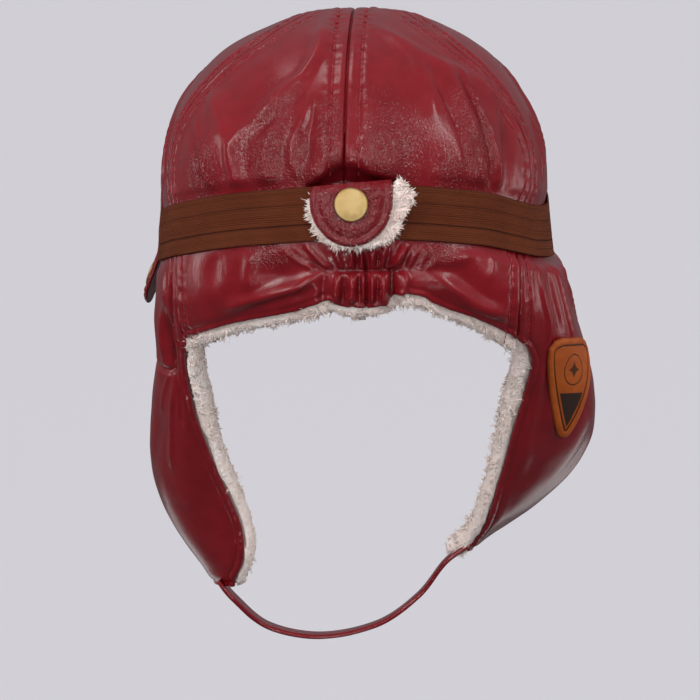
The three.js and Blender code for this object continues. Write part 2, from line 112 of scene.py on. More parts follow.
reach_grid = reach_by_angle()


def reach(angle, level):
    column = (np.asarray(angle, float) % 360) / ANGLE_STEP
    row = np.clip(np.asarray(level, float) / LEVEL_STEP, 0, len(level_grid) - 1.001)
    i, j = row.astype(int), column.astype(int)
    s, t = row - i, column - j
    turns = reach_grid.shape[1]
    left, right = j % turns, (j + 1) % turns
    upper = (1 - t) * reach_grid[i, left] + t * reach_grid[i, right]
    lower = (1 - t) * reach_grid[i + 1, left] + t * reach_grid[i + 1, right]
    return (1 - s) * upper + s * lower


def place(angle, level):
    """A place on the smooth outer face"""
    radius = reach(angle, level)
    turn = np.radians(angle)
    middle = np.interp(level, level_grid, finely["middle"])
    height = np.interp(level, level_grid, finely["z"])
    return np.stack([radius * np.sin(turn), middle - radius * np.cos(turn), height + 0 * radius], -1)


def unit(vector):
    return vector / np.maximum(np.linalg.norm(vector, axis=-1, keepdims=True), 1e-9)


def outward(angle, level):
    """The direction square to the smooth outer face"""
    level = np.maximum(level, 0.05)
    round_way = place(angle + 0.6, level) - place(angle - 0.6, level)
    down_way = place(angle, level + 0.04) - place(angle, level - 0.04)
    return unit(np.cross(down_way, round_way))


def level_at(z):
    return np.interp(-np.asarray(z, float), -finely["z"], level_grid)


def height_at(level):
    return np.interp(level, level_grid, finely["z"])


def step(value, low, high):
    """From 0 to 1 in an easy curve as a value goes from low to high"""
    share = np.clip((np.asarray(value, float) - low) / (high - low), 0, 1)
    return share * share * (3 - 2 * share)


def hump(value, at, width):
    """1 where a value is at its place, easing to 0 a few widths away on both sides"""
    return np.exp(-(((value - at) / width) ** 2))


def turn_from(angle, middle):
    """How many degrees an angle is past a middle, the shorter way round"""
    return (angle - middle + 180) % 360 - 180


chance = np.random.default_rng(11)
lattice = chance.random((24, 24, 24)) * 2 - 1


def unevenness(points, size, seed=0):
    """Smooth noise from -1 to 1 with lumps of a size, at places in mm"""
    at = np.asarray(points, float) / size + seed * 7.31
    cell = np.floor(at).astype(int)
    share = at - cell
    share = share * share * (3 - 2 * share)
    found = 0.0
    for corner in range(8):
        way = np.array([corner & 1, corner >> 1 & 1, corner >> 2])
        weight = np.prod(np.where(way, share, 1 - share), axis=-1)
        x, y, z = np.moveaxis((cell + way) % 24, -1, 0)
        found = found + weight * lattice[x, y, z]
    return found


# The middle of the elastic strap every 30 degrees from the left. It holds the leather flat and
# hides it this far from its middle.
STRAP_WIDTH, STRAP_BITE, STRAP_COVERS = 24, 0.9, 12.5
strap_route = [-46, -54, -75, -96, -97.5, -94.5, -91.5, -93, -97.5, -91.5, -70, -53]


def strap_height(angle):
    rows = strap_route[-2:] + strap_route + strap_route[:3]
    return through(rows, (np.asarray(angle, float) + 180) % 360 / 30 + 2)


def strap_reach(angle, z):
    """How far the strap's inner side reaches: a straight band that squeezes the leather in"""
    middle = strap_height(angle)
    upper, lower = reach(angle, level_at(middle + 8)), reach(angle, level_at(middle - 4))
    return upper + (lower - upper) * (middle + 8 - z) / 12 - STRAP_BITE


# The seams' angles by level, from the top down
seam_angles = {
    "centre": [-1, -1, -1, -1, -1, -1, -1, -1, 1, 3.7, 4, 4],
    "back_left": [-36, -33, -32, -36, -45, -54, -59, -58, -56, -55, -55, -56.5],
    "back_right": [37, 35, 34, 37, 44, 50, 56, 55, 49.5, 46.5, 46.2, 49],
    "front": [146, 146, 145, 142, 137, 132, 129, 128, 128, 128, 128, 128],
}


def seam_at(name, level):
    if name == "centre_front":
        return 180 + 0 * np.asarray(level, float)
    if name == "front_left":
        return 360 - through(seam_angles["front"], level)
    return through(seam_angles["front" if name == "front_right" else name], level)


# Soft dents and puffs: angle, height, lean of the long way from level, half lengths along and
# across it, and how far each stands out
puffs = [
    (-33, -62, 20, 24, 14, 3.0),
    (30, -66, -20, 22, 13, 2.6),
    (0, -61, 0, 20, 9, 2.6),
    (44, -58, 75, 24, 5, -2.0),
    (4, -116, 0, 24, 4, -2.2),
    (-32, -122, 25, 22, 9, 1.3),
    (34, -120, -25, 16, 8, 1.1),
    (-18, -119, 0, 9, 5, -1.6),
    (31, -124, -35, 15, 6, -1.2),
    (-36, -117, 75, 9, 5, -0.7),
    (-9, -60, 80, 12, 4, -1.0),
    (-66, -146, 90, 16, 5, -3.5),
    (-78, -140, 90, 18, 7, 2.0),
    (84, -126, 80, 15, 6, -2.0),
    (-80, -195, 70, 24, 9, -2.0),
    (-66, -196, 80, 34, 8, 1.4),
    (84, -205, 70, 20, 9, -2.0),
    (66, -186, 80, 30, 9, 1.4),
    (140, -40, 60, 24, 8, 1.6),
    (-140, -44, 60, 22, 8, 1.6),
    (160, -30, 70, 20, 7, -1.4),
    (-163, -26, 70, 20, 7, -1.2),
    (95, -40, 80, 24, 9, 1.6),
    (-98, -38, 80, 24, 9, 1.8),
    (115, -60, 70, 20, 6, -1.6),
    (-118, -52, 70, 20, 6, -1.4),
    (72, -60, 80, 20, 6, -1.2),
    (-76, -58, 80, 20, 6, -1.4),
]

# The lip that hangs over the back keeper: sideways from the centre, and height
KEEPER_ANGLE = 0.5
lip_edge = [(-17, -78.6), (-13, -75.6), (-9, -72.6), (-4, -71), (0, -71.2), (4, -72.6),
            (9, -74.8), (17, -77.6)]

# Folds and creases: half width, how far each stands out, how much steeper its left side is, and
# its route by angle and height
creases = [
    (4.2, 2.6, 0.0, [(-13, 1.5), (-10, -15), (-12, -29), (-15, -34.5), (-18, -40.5), (-23, -51),
                     (-27, -56.5)]),
    (5, 2.8, 0.2, [(-26, -54), (-28.5, -63), (-28, -74), (-27, -86)]),
    (4, 1.6, 0.0, [(-44, -33), (-37, -43), (-32, -53), (-29, -64)]),
    (1.9, 1.4, -0.3, [(-10, -38), (-10, -47), (-11, -52.5), (-12.5, -59.5), (-13, -67.5),
                      (-12, -72.5), (-11, -80)]),
    (3.2, -1.7, 0.0, [(-9, -41), (-9, -50.5), (-9.5, -59.5), (-9, -70)]),
    (6, 2.9, 0.0, [(-16, -47), (-18.5, -59.5), (-19.5, -70.5), (-18.5, -84)]),
    (2.6, -1.2, 0.0, [(-11, -36), (-16, -47), (-22, -57)]),
    (2, 1.4, 0.3, [(-48, -42), (-42.5, -55), (-39, -66), (-37, -75.5), (-35, -86)]),
    (3, -1.1, 0.0, [(-45, -52), (-40, -66), (-39, -82)]),
    (7, 2.8, 0.0, [(4, -40), (6.5, -54), (9, -66), (9, -75)]),
    (5, 1.4, 0.0, [(19, -20), (20, -34), (20, -50)]),
    (1.5, -1.7, 0.0, [(22, -26), (24, -40), (26, -50), (27, -61), (28, -71), (28, -80)]),
    (4.4, 1.9, 0.0, [(27, -24), (29, -36.5), (30.5, -47), (32, -60)]),
    (2, 2.3, 0.5, [(32, -24), (34, -41), (36, -52.5), (37, -63.5), (38, -73.5), (38, -86)]),
    (2.2, -1.7, 0.0, [(33, -46), (35, -58), (35.5, -69), (36, -83)]),
    (1.6, 1.4, 0.2, [(28, -54), (28.5, -65.5), (29, -74), (30, -85)]),
    (1.3, 1.1, 0.0, [(31.5, -62), (32.5, -72), (33, -84)]),
    (1.4, 0.9, 0.0, [(22, -64), (23, -82)]),
    (1.1, 0.7, 0.0, [(18.5, -68), (19, -82)]),
    (6.5, 1.4, 0.0, [(8, -2), (22, -20), (34, -28), (46, -39)]),
    (1.3, 1.4, 0.3, [(-17, -105), (-13, -112), (-8, -117)]),
    (1.1, 1.2, 0.3, [(-14.5, -104), (-11, -110.5), (-7, -114.5), (-4.5, -116)]),
    (1, -1, 0.0, [(-15.5, -106), (-12, -111.3), (-7.5, -115.6)]),
    (3.4, 2.2, 0.0, [(-5, -117.5), (-11.5, -123), (-18, -126.5), (-26, -130), (-36, -134)]),
    (2.6, -1.7, 0.0, [(-7, -123), (-14, -128), (-22, -131.5), (-31.5, -136)]),
    (3.4, 1.6, 0.0, [(-23.5, -106), (-25, -115.5), (-26, -125)]),
    (0.8, 0.35, 0.0, [(-34.5, -108), (-33.5, -121)]),
    (0.8, 0.35, 0.0, [(-32, -108), (-31.5, -120)]),
    (0.8, 0.35, 0.0, [(-30.3, -109), (-29.6, -118)]),
    (2, 2.6, 0.4, [(13.6, -102), (12, -108), (10, -115)]),
    (1.1, 1.7, 0.3, [(16.5, -105), (15, -111), (13.8, -116)]),
    (1.3, 1.6, 0.3, [(19.5, -105), (17.4, -112), (16.2, -116)]),
    (1.2, 1.2, 0.0, [(23, -107), (20, -113.5), (17.5, -117)]),
    (1.2, 0.9, 0.0, [(-6.5, -118), (-11, -122), (-16, -131)]),
    (4.2, 2.5, 0.0, [(16.5, -117.5), (22, -121), (27.5, -126.5), (33, -132), (44, -137)]),
    (3.2, 1.4, 0.0, [(18, -114.5), (26, -112), (31, -108.5)]),
    (1.6, 0.5, 0.0, [(36, -108), (36.5, -114.5), (35, -121)]),
    (1.8, -3.2, 0.0, [(-58, -116), (-59, -128), (-62, -141), (-66, -151), (-67, -161.5)]),
    (1.5, -2.2, 0.0, [(-62, -160), (-70, -161.5), (-80, -158), (-90, -152)]),
    (3.4, 2.1, 0.0, [(-64, -112), (-64, -127), (-71, -142.5), (-72, -160)]),
    (2, 1.5, 0.0, [(-67, -163), (-67, -169.5), (-70, -185.5), (-72, -210)]),
    (1.2, 0.9, 0.0, [(-65, -163), (-62, -173), (-61.5, -184)]),
    (1.2, 0.8, 0.0, [(-68.5, -163), (-73, -172), (-77, -184)]),
    (1.4, -1.1, 0.0, [(-66, -160), (-64.5, -172), (-66.5, -190)]),
    (1.7, 1.3, 0.3, [(55.5, -108), (55, -124.5), (59, -142), (60, -156)]),
    (1.7, 1.7, 0.3, [(64, -106), (65.5, -117.5), (67, -128), (69.5, -141), (72, -152)]),
    (3, -1.3, 0.0, [(60, -112), (61.5, -128), (64.5, -143)]),
    (5, 1.3, 0.0, [(57.5, -150), (61, -175.5), (62, -195), (64, -216)]),
    (1.5, 1, 0.0, [(78, -106), (76, -118), (77, -134)]),
    (1.6, 1.2, 0.2, [(98, -112), (95, -124), (97, -140), (95, -158)]),
    (1.4, -1, 0.0, [(103, -112), (101, -128), (102, -150)]),
    (1.8, 1.2, 0.0, [(-100, -106), (-97, -122), (-98, -142), (-95, -160)]),
    (1.4, -1.2, 0.0, [(-106, -110), (-103, -130), (-103, -152)]),
    (2.6, 1.7, 0.2, [(86, -12), (84, -28), (86, -44), (83, -66)]),
    (1.8, 1.4, 0.0, [(66, -40), (68, -56), (67, -76)]),
    (1.6, -1.4, 0.0, [(76, -36), (77, -54), (78, -76)]),
    (1.6, 1.2, 0.3, [(104, -30), (101, -48), (103, -66)]),
    (2.4, 1.7, 0.2, [(-88, -10), (-85, -26), (-88, -44), (-84, -66)]),
    (1.8, 1.4, 0.0, [(-68, -38), (-70, -56), (-69, -78)]),
    (1.6, -1.4, 0.0, [(-78, -36), (-79, -54), (-80, -70)]),
    (1.6, 1.2, 0.3, [(-106, -28), (-103, -46), (-106, -64)]),
    (2.2, 1.6, 0.0, [(153, -8), (150, -22), (154, -38)]),
    (1.7, -1.2, 0.0, [(166, -14), (163, -28), (166, -36)]),
    (2.2, 1.4, 0.0, [(-155, -6), (-151, -22), (-156, -37)]),
    (1.7, 1.2, 0.2, [(-170, -12), (-167, -24), (-170, -34)]),
    (1.9, 3.0, 0.3, [(-2.6, -117.8), (-3.2, -122), (-3.8, -131)]),
    (1.6, 2.8, 0.0, [(0.9, -117.8), (0.6, -122), (0.3, -131)]),
    (0.9, 2.0, 0.0, [(3.2, -117.8), (3.3, -131)]),
    (1.0, 2.1, 0.0, [(5.3, -117.8), (5.4, -131)]),
    (1.4, 2.3, -0.2, [(7.6, -117.8), (8.0, -122), (8.3, -131)]),
    (2.4, 2.7, -0.2, [(13.4, -117.8), (13.4, -121.5), (12.8, -128)]),
    (1.5, -1.4, 0.0, [(-6, -118.5), (-7, -131)]),
    (0.8, -1.9, 0.0, [(-1.4, -118.2), (-1.7, -131)]),
    (0.7, -2.2, 0.0, [(2.3, -118.2), (2.3, -131)]),
    (0.7, -1.7, 0.0, [(6.7, -118.2), (6.8, -131)]),
    (1.5, -4.2, 0.0, [(10.2, -115.5), (10.3, -123.5), (10.4, -134)]),
    (1.3, 2.0, 0.3, [(-10.6, -104), (-8, -111), (-4.8, -116.6)]),
    (1.2, -1.7, 0.0, [(-12.5, -105), (-9.5, -112), (-6, -116.6)]),
    (1.1, 1.8, 0.0, [(-3.4, -108), (-2.6, -112), (-1.8, -116.8)]),
    (1.2, 1.9, 0.0, [(0.2, -107.5), (0.4, -112), (0.5, -116.8)]),
    (0.8, -1.4, 0.0, [(1.8, -108.5), (1.8, -116.8)]),
    (1.1, 1.8, 0.0, [(2.9, -107.5), (2.9, -116.8)]),
    (1.2, 2.0, 0.0, [(5.3, -107), (5.3, -116.8)]),
    (0.8, -1.4, 0.0, [(6.6, -107.5), (6.5, -116.8)]),
    (1.2, 2.1, 0.0, [(8.2, -105), (7.9, -112), (7.6, -116.8)]),
    (0.9, -1.6, 0.0, [(9.8, -105), (9.2, -111), (8.9, -116.8)]),
    (1.5, 2.4, 0.4, [(13.2, -102), (12, -108), (10.5, -115.5)]),
    (1.1, -1.7, 0.0, [(15.8, -103), (14, -109), (12.6, -116)]),
    (0.9, -1.5, 0.0, [(-7.5, -117), (-1, -117.3), (5, -117.2), (11, -117.2), (15.5, -117.2)]),
]


def edge_between(edge, at):
    return np.interp(at, [row[0] for row in edge], [row[1] for row in edge])


def ahead_on(line):
    """At each place of a line, the way from the place before it to the one after"""
    ahead = np.roll(line, -1, 0) - np.roll(line, 1, 0)
    ahead[0], ahead[-1] = line[1] - line[0], line[-1] - line[-2]
    return ahead


def way_along(line):
    """How far along a line each of its places is"""
    return np.concatenate([[0], np.cumsum(np.linalg.norm(np.diff(line, axis=0), axis=1))])


def nearest_on(points, route):
    """For each point: its distance to a route, its side of it, and how far along it lies"""
    ahead, run = ahead_on(route), way_along(route)
    gap = np.linalg.norm(points[:, None] - route[None], axis=2)
    best = gap.argmin(1)
    offset = points - route[best]
    way = unit(ahead[best])
    forward = (offset * way).sum(1)
    aside = offset - way * forward[:, None]
    return np.linalg.norm(aside, axis=1), np.cross(way, aside), run[best] + forward, run[-1]


def crease_lift(points, normals, half_width, out, steep, route):
    """One crease's lift at each point. It fades towards both its ends."""
    lift = np.zeros(len(points))
    angle, height = np.array(route, float).T
    share = np.linspace(0, len(route) - 1, 8 * (len(route) - 1) + 1)
    line = place(through(angle, share), level_at(through(height, share)))
    room = 3 * half_width * (1 + abs(steep)) + 3
    near = ((points > line.min(0) - room) & (points < line.max(0) + room)).all(1)
    if not near.any():
        return lift
    gap, turn, run, length = nearest_on(points[near], line)
    side = np.sign((turn * normals[near]).sum(1))
    width = half_width * (1 + steep * side) * (0.85 + 0.25 * unevenness(points[near], 9, 3))
    ends = step(run, -half_width, 0.3 * length) * (1 - step(run, 0.75 * length, length + half_width))
    lift[near] = out * ends * hump(gap, 0, width)
    return lift


def fold_lift(angle, level, points, normals):
    """All dents, folds and creases together, with the leather's own unevenness"""
    shape = np.shape(angle)
    angle, level = np.ravel(angle), np.ravel(level)
    points, normals = points.reshape(-1, 3), normals.reshape(-1, 3)
    radius, height = reach(angle, level), points[:, 2]
    lift = np.zeros(len(angle))
    for middle, z, lean, long_half, short_half, out in puffs:
        aside = np.radians(turn_from(angle, middle)) * radius
        up, lean = height - z, np.radians(lean)
        along = (aside * np.cos(lean) + up * np.sin(lean)) / long_half
        across = (up * np.cos(lean) - aside * np.sin(lean)) / short_half
        lift += out * np.exp(-(along**2) - across**2)
    for half_width, out, steep, route in creases:
        lift += crease_lift(points, normals, half_width, out, steep, route)
    lift += 0.55 * unevenness(points, 26, 1) + 0.28 * unevenness(points, 11, 2)
    gap = np.abs(height - strap_height(angle))
    stretched = np.stack([angle * 1.7, height * 0.22, height * 0], -1)
    ripples = unevenness(stretched, 4.2, 5) + 0.6 * unevenness(stretched, 2.3, 6)
    lift += 0.2 * ripples * hump(gap, 14, 9)
    lift *= step(gap, STRAP_COVERS, 18)
    squeeze = strap_reach(angle, height) - 0.3 - radius
    lift += np.minimum(squeeze, 0) * (1 - step(gap, 11, 19))
    # The crown hangs over the back keeper in a lip with a hollow beneath it
    sideways = np.radians(turn_from(angle, KEEPER_ANGLE)) * radius
    over = 1 - step(np.abs(sideways), 15, 23)
    drop = height - edge_between(lip_edge, sideways)
    lip = 2.4 * hump(drop, 5, 5.5)
    hollow = -5.6 * (1 - step(drop, -2.2, 1.0)) * step(drop, -12, -7)
    pleats = 0.9 * unevenness(np.stack([sideways, height * 0.2, 0 * height], -1), 3.0, 8)
    return (lift + over * (lip + hollow + pleats * (drop < 0))).reshape(shape)


STITCH_ROW = 6.4


def seam_lift(gap, run):
    """A seam that is pressed open and stitched down, by the distance from it and along it"""
    puckers = np.sin(run * 1.18 + 1.5 * np.sin(run * 0.31)) + 0.6 * np.sin(run * 0.67 + 2)
    return (-1.2 * hump(gap, 0, 0.55) + 0.35 * hump(gap, 2.6, 1.5)
            - 0.45 * hump(gap, STITCH_ROW, 0.65) + 0.3 * hump(gap, STITCH_ROW + 2.6, 1.9)
            + 0.2 * puckers * hump(gap, STITCH_ROW, 3.4))


def hem_lift(gap, run):
    """An edge that is turned under and sewn to the lining, by the distance from it"""
    waves = 0.25 * np.sin(run * 1.05 + np.sin(run * 0.37) * 2)
    return ((0.3 + waves) * hump(gap, 1.5, 1.0) - (0.35 + 0.3 * waves) * hump(gap, 3.4, 0.6)
            + 0.25 * hump(gap, 6.5, 2.6))


def rounded(gap, radius):
    """How far an edge falls away as its round side is reached"""
    share = np.clip(1 - gap / radius, 0, 1)
    return radius * (1 - np.sqrt(1 - share**2))


# The nape edge with its gathers, the brow edge and the cheek edge, as pairs of angle and height
nape_edge = [(-57, -147.5), (-35, -141), (-22, -137.5), (-13, -134.8), (-10, -132.8), (-5.2, -130.4),
             (-4.2, -131.6), (-2.4, -133.2), (0.9, -133.6), (4.2, -133.6), (8.5, -132.8),
             (10.2, -131.5), (11.2, -127.9), (13.9, -127.3), (17, -128.3), (18.9, -129.4),
             (20.6, -131.6), (26, -135), (33, -138), (49, -147.5)]
brow_edge = [(128, -77), (145, -70), (162, -66.8), (180, -66), (198, -66.8), (215, -70), (232, -77)]
cheek_edge = [(-148, 111.5), (-115, 117), (-90, 121), (-77, 128)]

# The side panel's free edges begin at the brow's corner in front and at the nape's behind. Each
# ear flap's edges run from the nape corner, 0, down to its tip, 1.
BROW_CORNER, FLAP_TOP = -77, -148
flap_tip = {"left": -268, "right": -250}
flap_edges = {
    "down": [0, 0.04, 0.08, 0.3, 0.4, 0.5, 0.65, 0.75, 0.86, 0.93, 0.97, 1],
    "rear_left": [55, 58.5, 60, 61, 59.8, 57.6, 55, 54.5, 57.5, 63, 68, 74],
    "rear_right": [49, 54, 56.2, 58, 58, 58, 58.2, 59.5, 63.5, 69.5, 74.5, 79],
    "front": [111.5, 110.5, 109.5, 104.4, 103.2, 102, 101.4, 101, 99, 96.2, 93.5, 88],
}


def mirrored(side):
    return -1 if side == "left" else 1


def eased_edge(column, down):
    """An edge of a flap, its corners eased"""
    down = np.asarray(down, float)
    spread = np.linspace(-1, 1, 9) * np.clip(down, 0.0, 0.05)[..., None]
    return np.interp(down[..., None] + spread, flap_edges["down"], flap_edges[column]).mean(-1)


def rear_edge(side, level):
    down = (height_at(level) - FLAP_TOP) / (flap_tip[side] - FLAP_TOP)
    flap = mirrored(side) * eased_edge(f"rear_{side}", down)
    return np.where(down < 0, seam_at(f"back_{side}", level), flap)


def front_edge(side, level):
    z = height_at(level)
    down = (z - FLAP_TOP) / (flap_tip[side] - FLAP_TOP)
    cheek = edge_between(cheek_edge, z)
    temple = through(seam_angles["front"], level)
    free = np.where(down < 0, cheek, eased_edge("front", down))
    return mirrored(side) * np.where(z > BROW_CORNER, temple, free)


def crowded(count, crowd):
    """Shares from 0 to 1 that stand closer together near both ends"""
    share = np.linspace(0, 1, count + 1)
    return share - crowd * np.sin(2 * np.pi * share) / (2 * np.pi)


panels = {
    "panel_back_left": dict(
        first=lambda level: seam_at("back_left", level),
        last=lambda level: seam_at("centre", level),
        bottom=lambda angle: edge_between(nape_edge, angle), columns=116, rows=206),
    "panel_back_right": dict(
        first=lambda level: seam_at("centre", level),
        last=lambda level: seam_at("back_right", level),
        bottom=lambda angle: edge_between(nape_edge, angle), columns=110, rows=206),
    "panel_side_left": dict(
        first=lambda level: rear_edge("left", level),
        last=lambda level: front_edge("left", level),
        bottom=lambda angle: flap_tip["left"] + 0 * angle, columns=124, rows=280),
    "panel_side_right": dict(
        first=lambda level: rear_edge("right", level),
        last=lambda level: front_edge("right", level),
        bottom=lambda angle: flap_tip["right"] + 0 * angle, columns=124, rows=270),
    "panel_front_right": dict(
        first=lambda level: seam_at("front_right", level),
        last=lambda level: seam_at("centre_front", level),
        bottom=lambda angle: edge_between(brow_edge, angle), columns=72, rows=112),
    "panel_front_left": dict(
        first=lambda level: seam_at("centre_front", level),
        last=lambda level: seam_at("front_left", level),
        bottom=lambda angle: edge_between(brow_edge, angle), columns=72, rows=112),
}


def spread_grid(panel, columns, rows, top=TOP_LEVEL):
    """Angles and levels of a panel's grid. Its rows are as far apart as they are long."""
    levels = np.linspace(top, 17, 600)
    middle = (panel["first"](levels) + panel["last"](levels)) / 2
    run = way_along(place(middle, levels))
    share = crowded(columns, 0.66)[None] + np.zeros((rows + 1, 1))
    down = np.linspace(0, 1, rows + 1)
    down = (down + 0.35 * np.sin(np.pi * down / 2) * (1 - down) * down)[:, None]
    angle = panel["first"](9.0) * (1 - share) + panel["last"](9.0) * share
    for _ in range(6):
        end = np.interp(level_at(panel["bottom"](angle)), levels, run)
        level = np.interp(down * end, run, levels)
        angle = panel["first"](level) * (1 - share) + panel["last"](level) * share
    return angle, level


def edge_gap(points, edge):
    """Each point's distance to the nearest place of an edge line, and the way along that line"""
    ahead, run = ahead_on(edge), way_along(edge)
    gap, at = np.zeros(points.shape[:-1]), np.zeros(points.shape[:-1])
    for start in range(0, points.shape[0], 24):
        rows = points[start : start + 24]
        best = np.linalg.norm(rows[:, :, None] - edge[None, None], axis=-1).argmin(-1)
        offset = rows - edge[best]
        forward = (offset * unit(ahead[best])).sum(-1)
        spacing = np.linalg.norm(ahead[best], axis=-1) / 2
        forward = np.clip(forward, -spacing, spacing)
        aside = offset - unit(ahead[best]) * forward[..., None]
        gap[start : start + 24] = np.linalg.norm(aside, axis=-1)
        at[start : start + 24] = run[best] + forward
    return gap, at


def perimeter(rows, columns):
    """The numbers of a grid's outer points, once round"""
    wide = columns + 1
    top = list(range(columns))
    right = [j * wide + columns for j in range(rows)]
    bottom = [rows * wide + i for i in range(columns, 0, -1)]
    left = [j * wide for j in range(rows, 0, -1)]
    return top + right + bottom + left


def shell(outer, inner):
    """Points and faces of an outer grid and half as fine an inner one, joined at their edges"""
    def grid(rows, columns, first):
        corner = first + (np.arange(rows)[:, None] * (columns + 1) + np.arange(columns)[None]).ravel()
        return np.stack([corner, corner + columns + 1, corner + columns + 2, corner + 1], 1)

    rows, columns = outer.shape[0] - 1, outer.shape[1] - 1
    points = np.concatenate([outer.reshape(-1, 3), inner[::2, ::2].reshape(-1, 3)])
    count = (rows + 1) * (columns + 1)
    faces = grid(rows, columns, 0).tolist()
    faces += grid(rows // 2, columns // 2, count)[:, ::-1].tolist()
    fine = perimeter(rows, columns)
    coarse = [count + i for i in perimeter(rows // 2, columns // 2)]
    for i in range(len(coarse)):
        after = (i + 1) % len(coarse)
        faces.append([fine[2 * i], fine[2 * i + 1], fine[(2 * i + 2) % len(fine)],
                      coarse[after], coarse[i]])
    return points, faces


def quads_of(faces):
    return np.array([face[:4] if len(face) >= 4 else face + face[-1:] for face in faces])


def turned_out(points, faces):
    """The faces, all turned over if they close their volume inside out"""
    a, b, c, d = (points[corner] for corner in quads_of(faces).T)
    volume = (a * (np.cross(b, c) + np.cross(c, d))).sum()
    return faces if volume > 0 else [face[::-1] for face in faces]


def solid(name, points, faces, material, marks=None):
    """A smooth mesh from places in mm, with numbers for its material at each of them"""
    mesh = bpy.data.meshes.new(name)
    mesh.from_pydata((np.asarray(points) / 1000).tolist(), [], faces)
    for mark, values in (marks or {}).items():
        layer = mesh.attributes.new(mark, "FLOAT", "POINT")
        layer.data.foreach_set("value", np.asarray(values, np.float32))
    mesh.shade_smooth()
    mesh.materials.append(material)
    thing = bpy.data.objects.new(name, mesh)
    bpy.context.scene.collection.objects.link(thing)
    return thing


def piece(name, points, faces, material, marks=None):
    thing = solid(name, points, faces, material, marks)
    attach(thing, "root")
    return thing


def shell_piece(name, outer, inner, material, marks):
    """A closed piece from two grids, whose marks are numbers for each place of the outer one"""
    marks = {mark: np.concatenate([grid.ravel(), grid[::2, ::2].ravel()])
             for mark, grid in marks.items()}
    points, faces = shell(outer, inner)
    return piece(name, points, turned_out(points, faces), material, marks)


class Shade:
    """A shader socket that takes part in arithmetic. Each operation adds a Math node."""

    def __init__(self, tree, socket=None):
        self.tree, self.socket = tree, socket

    def node(self, kind, settings=None, inputs=None, output=0):
        """Add a node, set its settings, then give its sockets their values or links"""
        node = self.tree.nodes.new("ShaderNode" + kind)
        for name, value in (settings or {}).items():
            setattr(node, name, value)
        for name, value in (inputs or {}).items():
            if isinstance(value, Shade):
                self.tree.links.new(value.socket, node.inputs[name])
            else:
                node.inputs[name].default_value = value
        return Shade(self.tree, node.outputs[output])

    def math(self, operation, *others):
        return self.node("Math", {"operation": operation}, dict(enumerate([self, *others])))

    def __add__(self, other):
        return self.math("ADD", other)

    __radd__ = __add__

    def __sub__(self, other):
        return self.math("SUBTRACT", other)

    def __rsub__(self, other):
        return self.node("Math", {"operation": "SUBTRACT"}, {0: other, 1: self})

    def __mul__(self, other):
        return self.math("MULTIPLY", other)

    __rmul__ = __mul__

    def __pow__(self, other):
        return self.math("POWER", other)

    def __abs__(self):
        return self.math("ABSOLUTE")

    def within(self, low, high):
        """From 0 to 1 as the value goes from low to high"""
        return self.node("MapRange", {"interpolation_type": "SMOOTHSTEP"},
                         {"Value": self, "From Min": low, "From Max": high})

    def blend(self, first, second):
        """From the first colour to the second by this value"""
        return self.node("Mix", {"data_type": "RGBA"}, {0: self, 6: first, 7: second}, 2)

    def mark(self, name):
        """A number that the mesh holds at each of its points"""
        return self.node("Attribute", {"attribute_name": name}, output="Fac")

    def times(self, *scale):
        """A vector with each of its three numbers times its own scale"""
        return self.node("VectorMath", {"operation": "MULTIPLY"}, {0: self, 1: scale})

    def spot(self, x=1, y=1, z=1):
        """The place on the piece in mm, each way times its scale"""
        return self.node("TexCoord", output="Object").times(1000 * x, 1000 * y, 1000 * z)

    def noise(self, where, size, detail=2.0, rough=0.5):
        return self.node("TexNoise", {}, {"Vector": where, "Scale": 1 / size, "Detail": detail,
                                          "Roughness": rough})

    def walls(self, where, scale):
        """The distance to the walls of cells, as many to the mm as the scale says"""
        return self.node("TexVoronoi", {"feature": "DISTANCE_TO_EDGE"}, {"Vector": where, "Scale": scale})

    def bump(self, height, depth):
        """The surface's tilt from a height in shares of a depth in mm"""
        return self.node("Bump", {}, {"Height": height, "Distance": depth / 1000, "Strength": 1.0})


def finish(name, mix):
    """A material whose sockets are worked out by a function of an empty Shade"""
    material = bpy.data.materials.new(name)
    material.use_nodes = True
    tree = material.node_tree
    shader = tree.nodes["Principled BSDF"]
    for socket, value in mix(Shade(tree)).items():
        if isinstance(value, Shade):
            tree.links.new(value.socket, shader.inputs[socket])
        else:
            shader.inputs[socket].default_value = value
    return material


def colour(red, green, blue):
    """A colour from its values on a screen, from 0 to 255"""
    def linear(value):
        value /= 255
        return value / 12.92 if value <= 0.04045 else ((value + 0.055) / 1.055) ** 2.4

    return linear(red), linear(green), linear(blue), 1.0


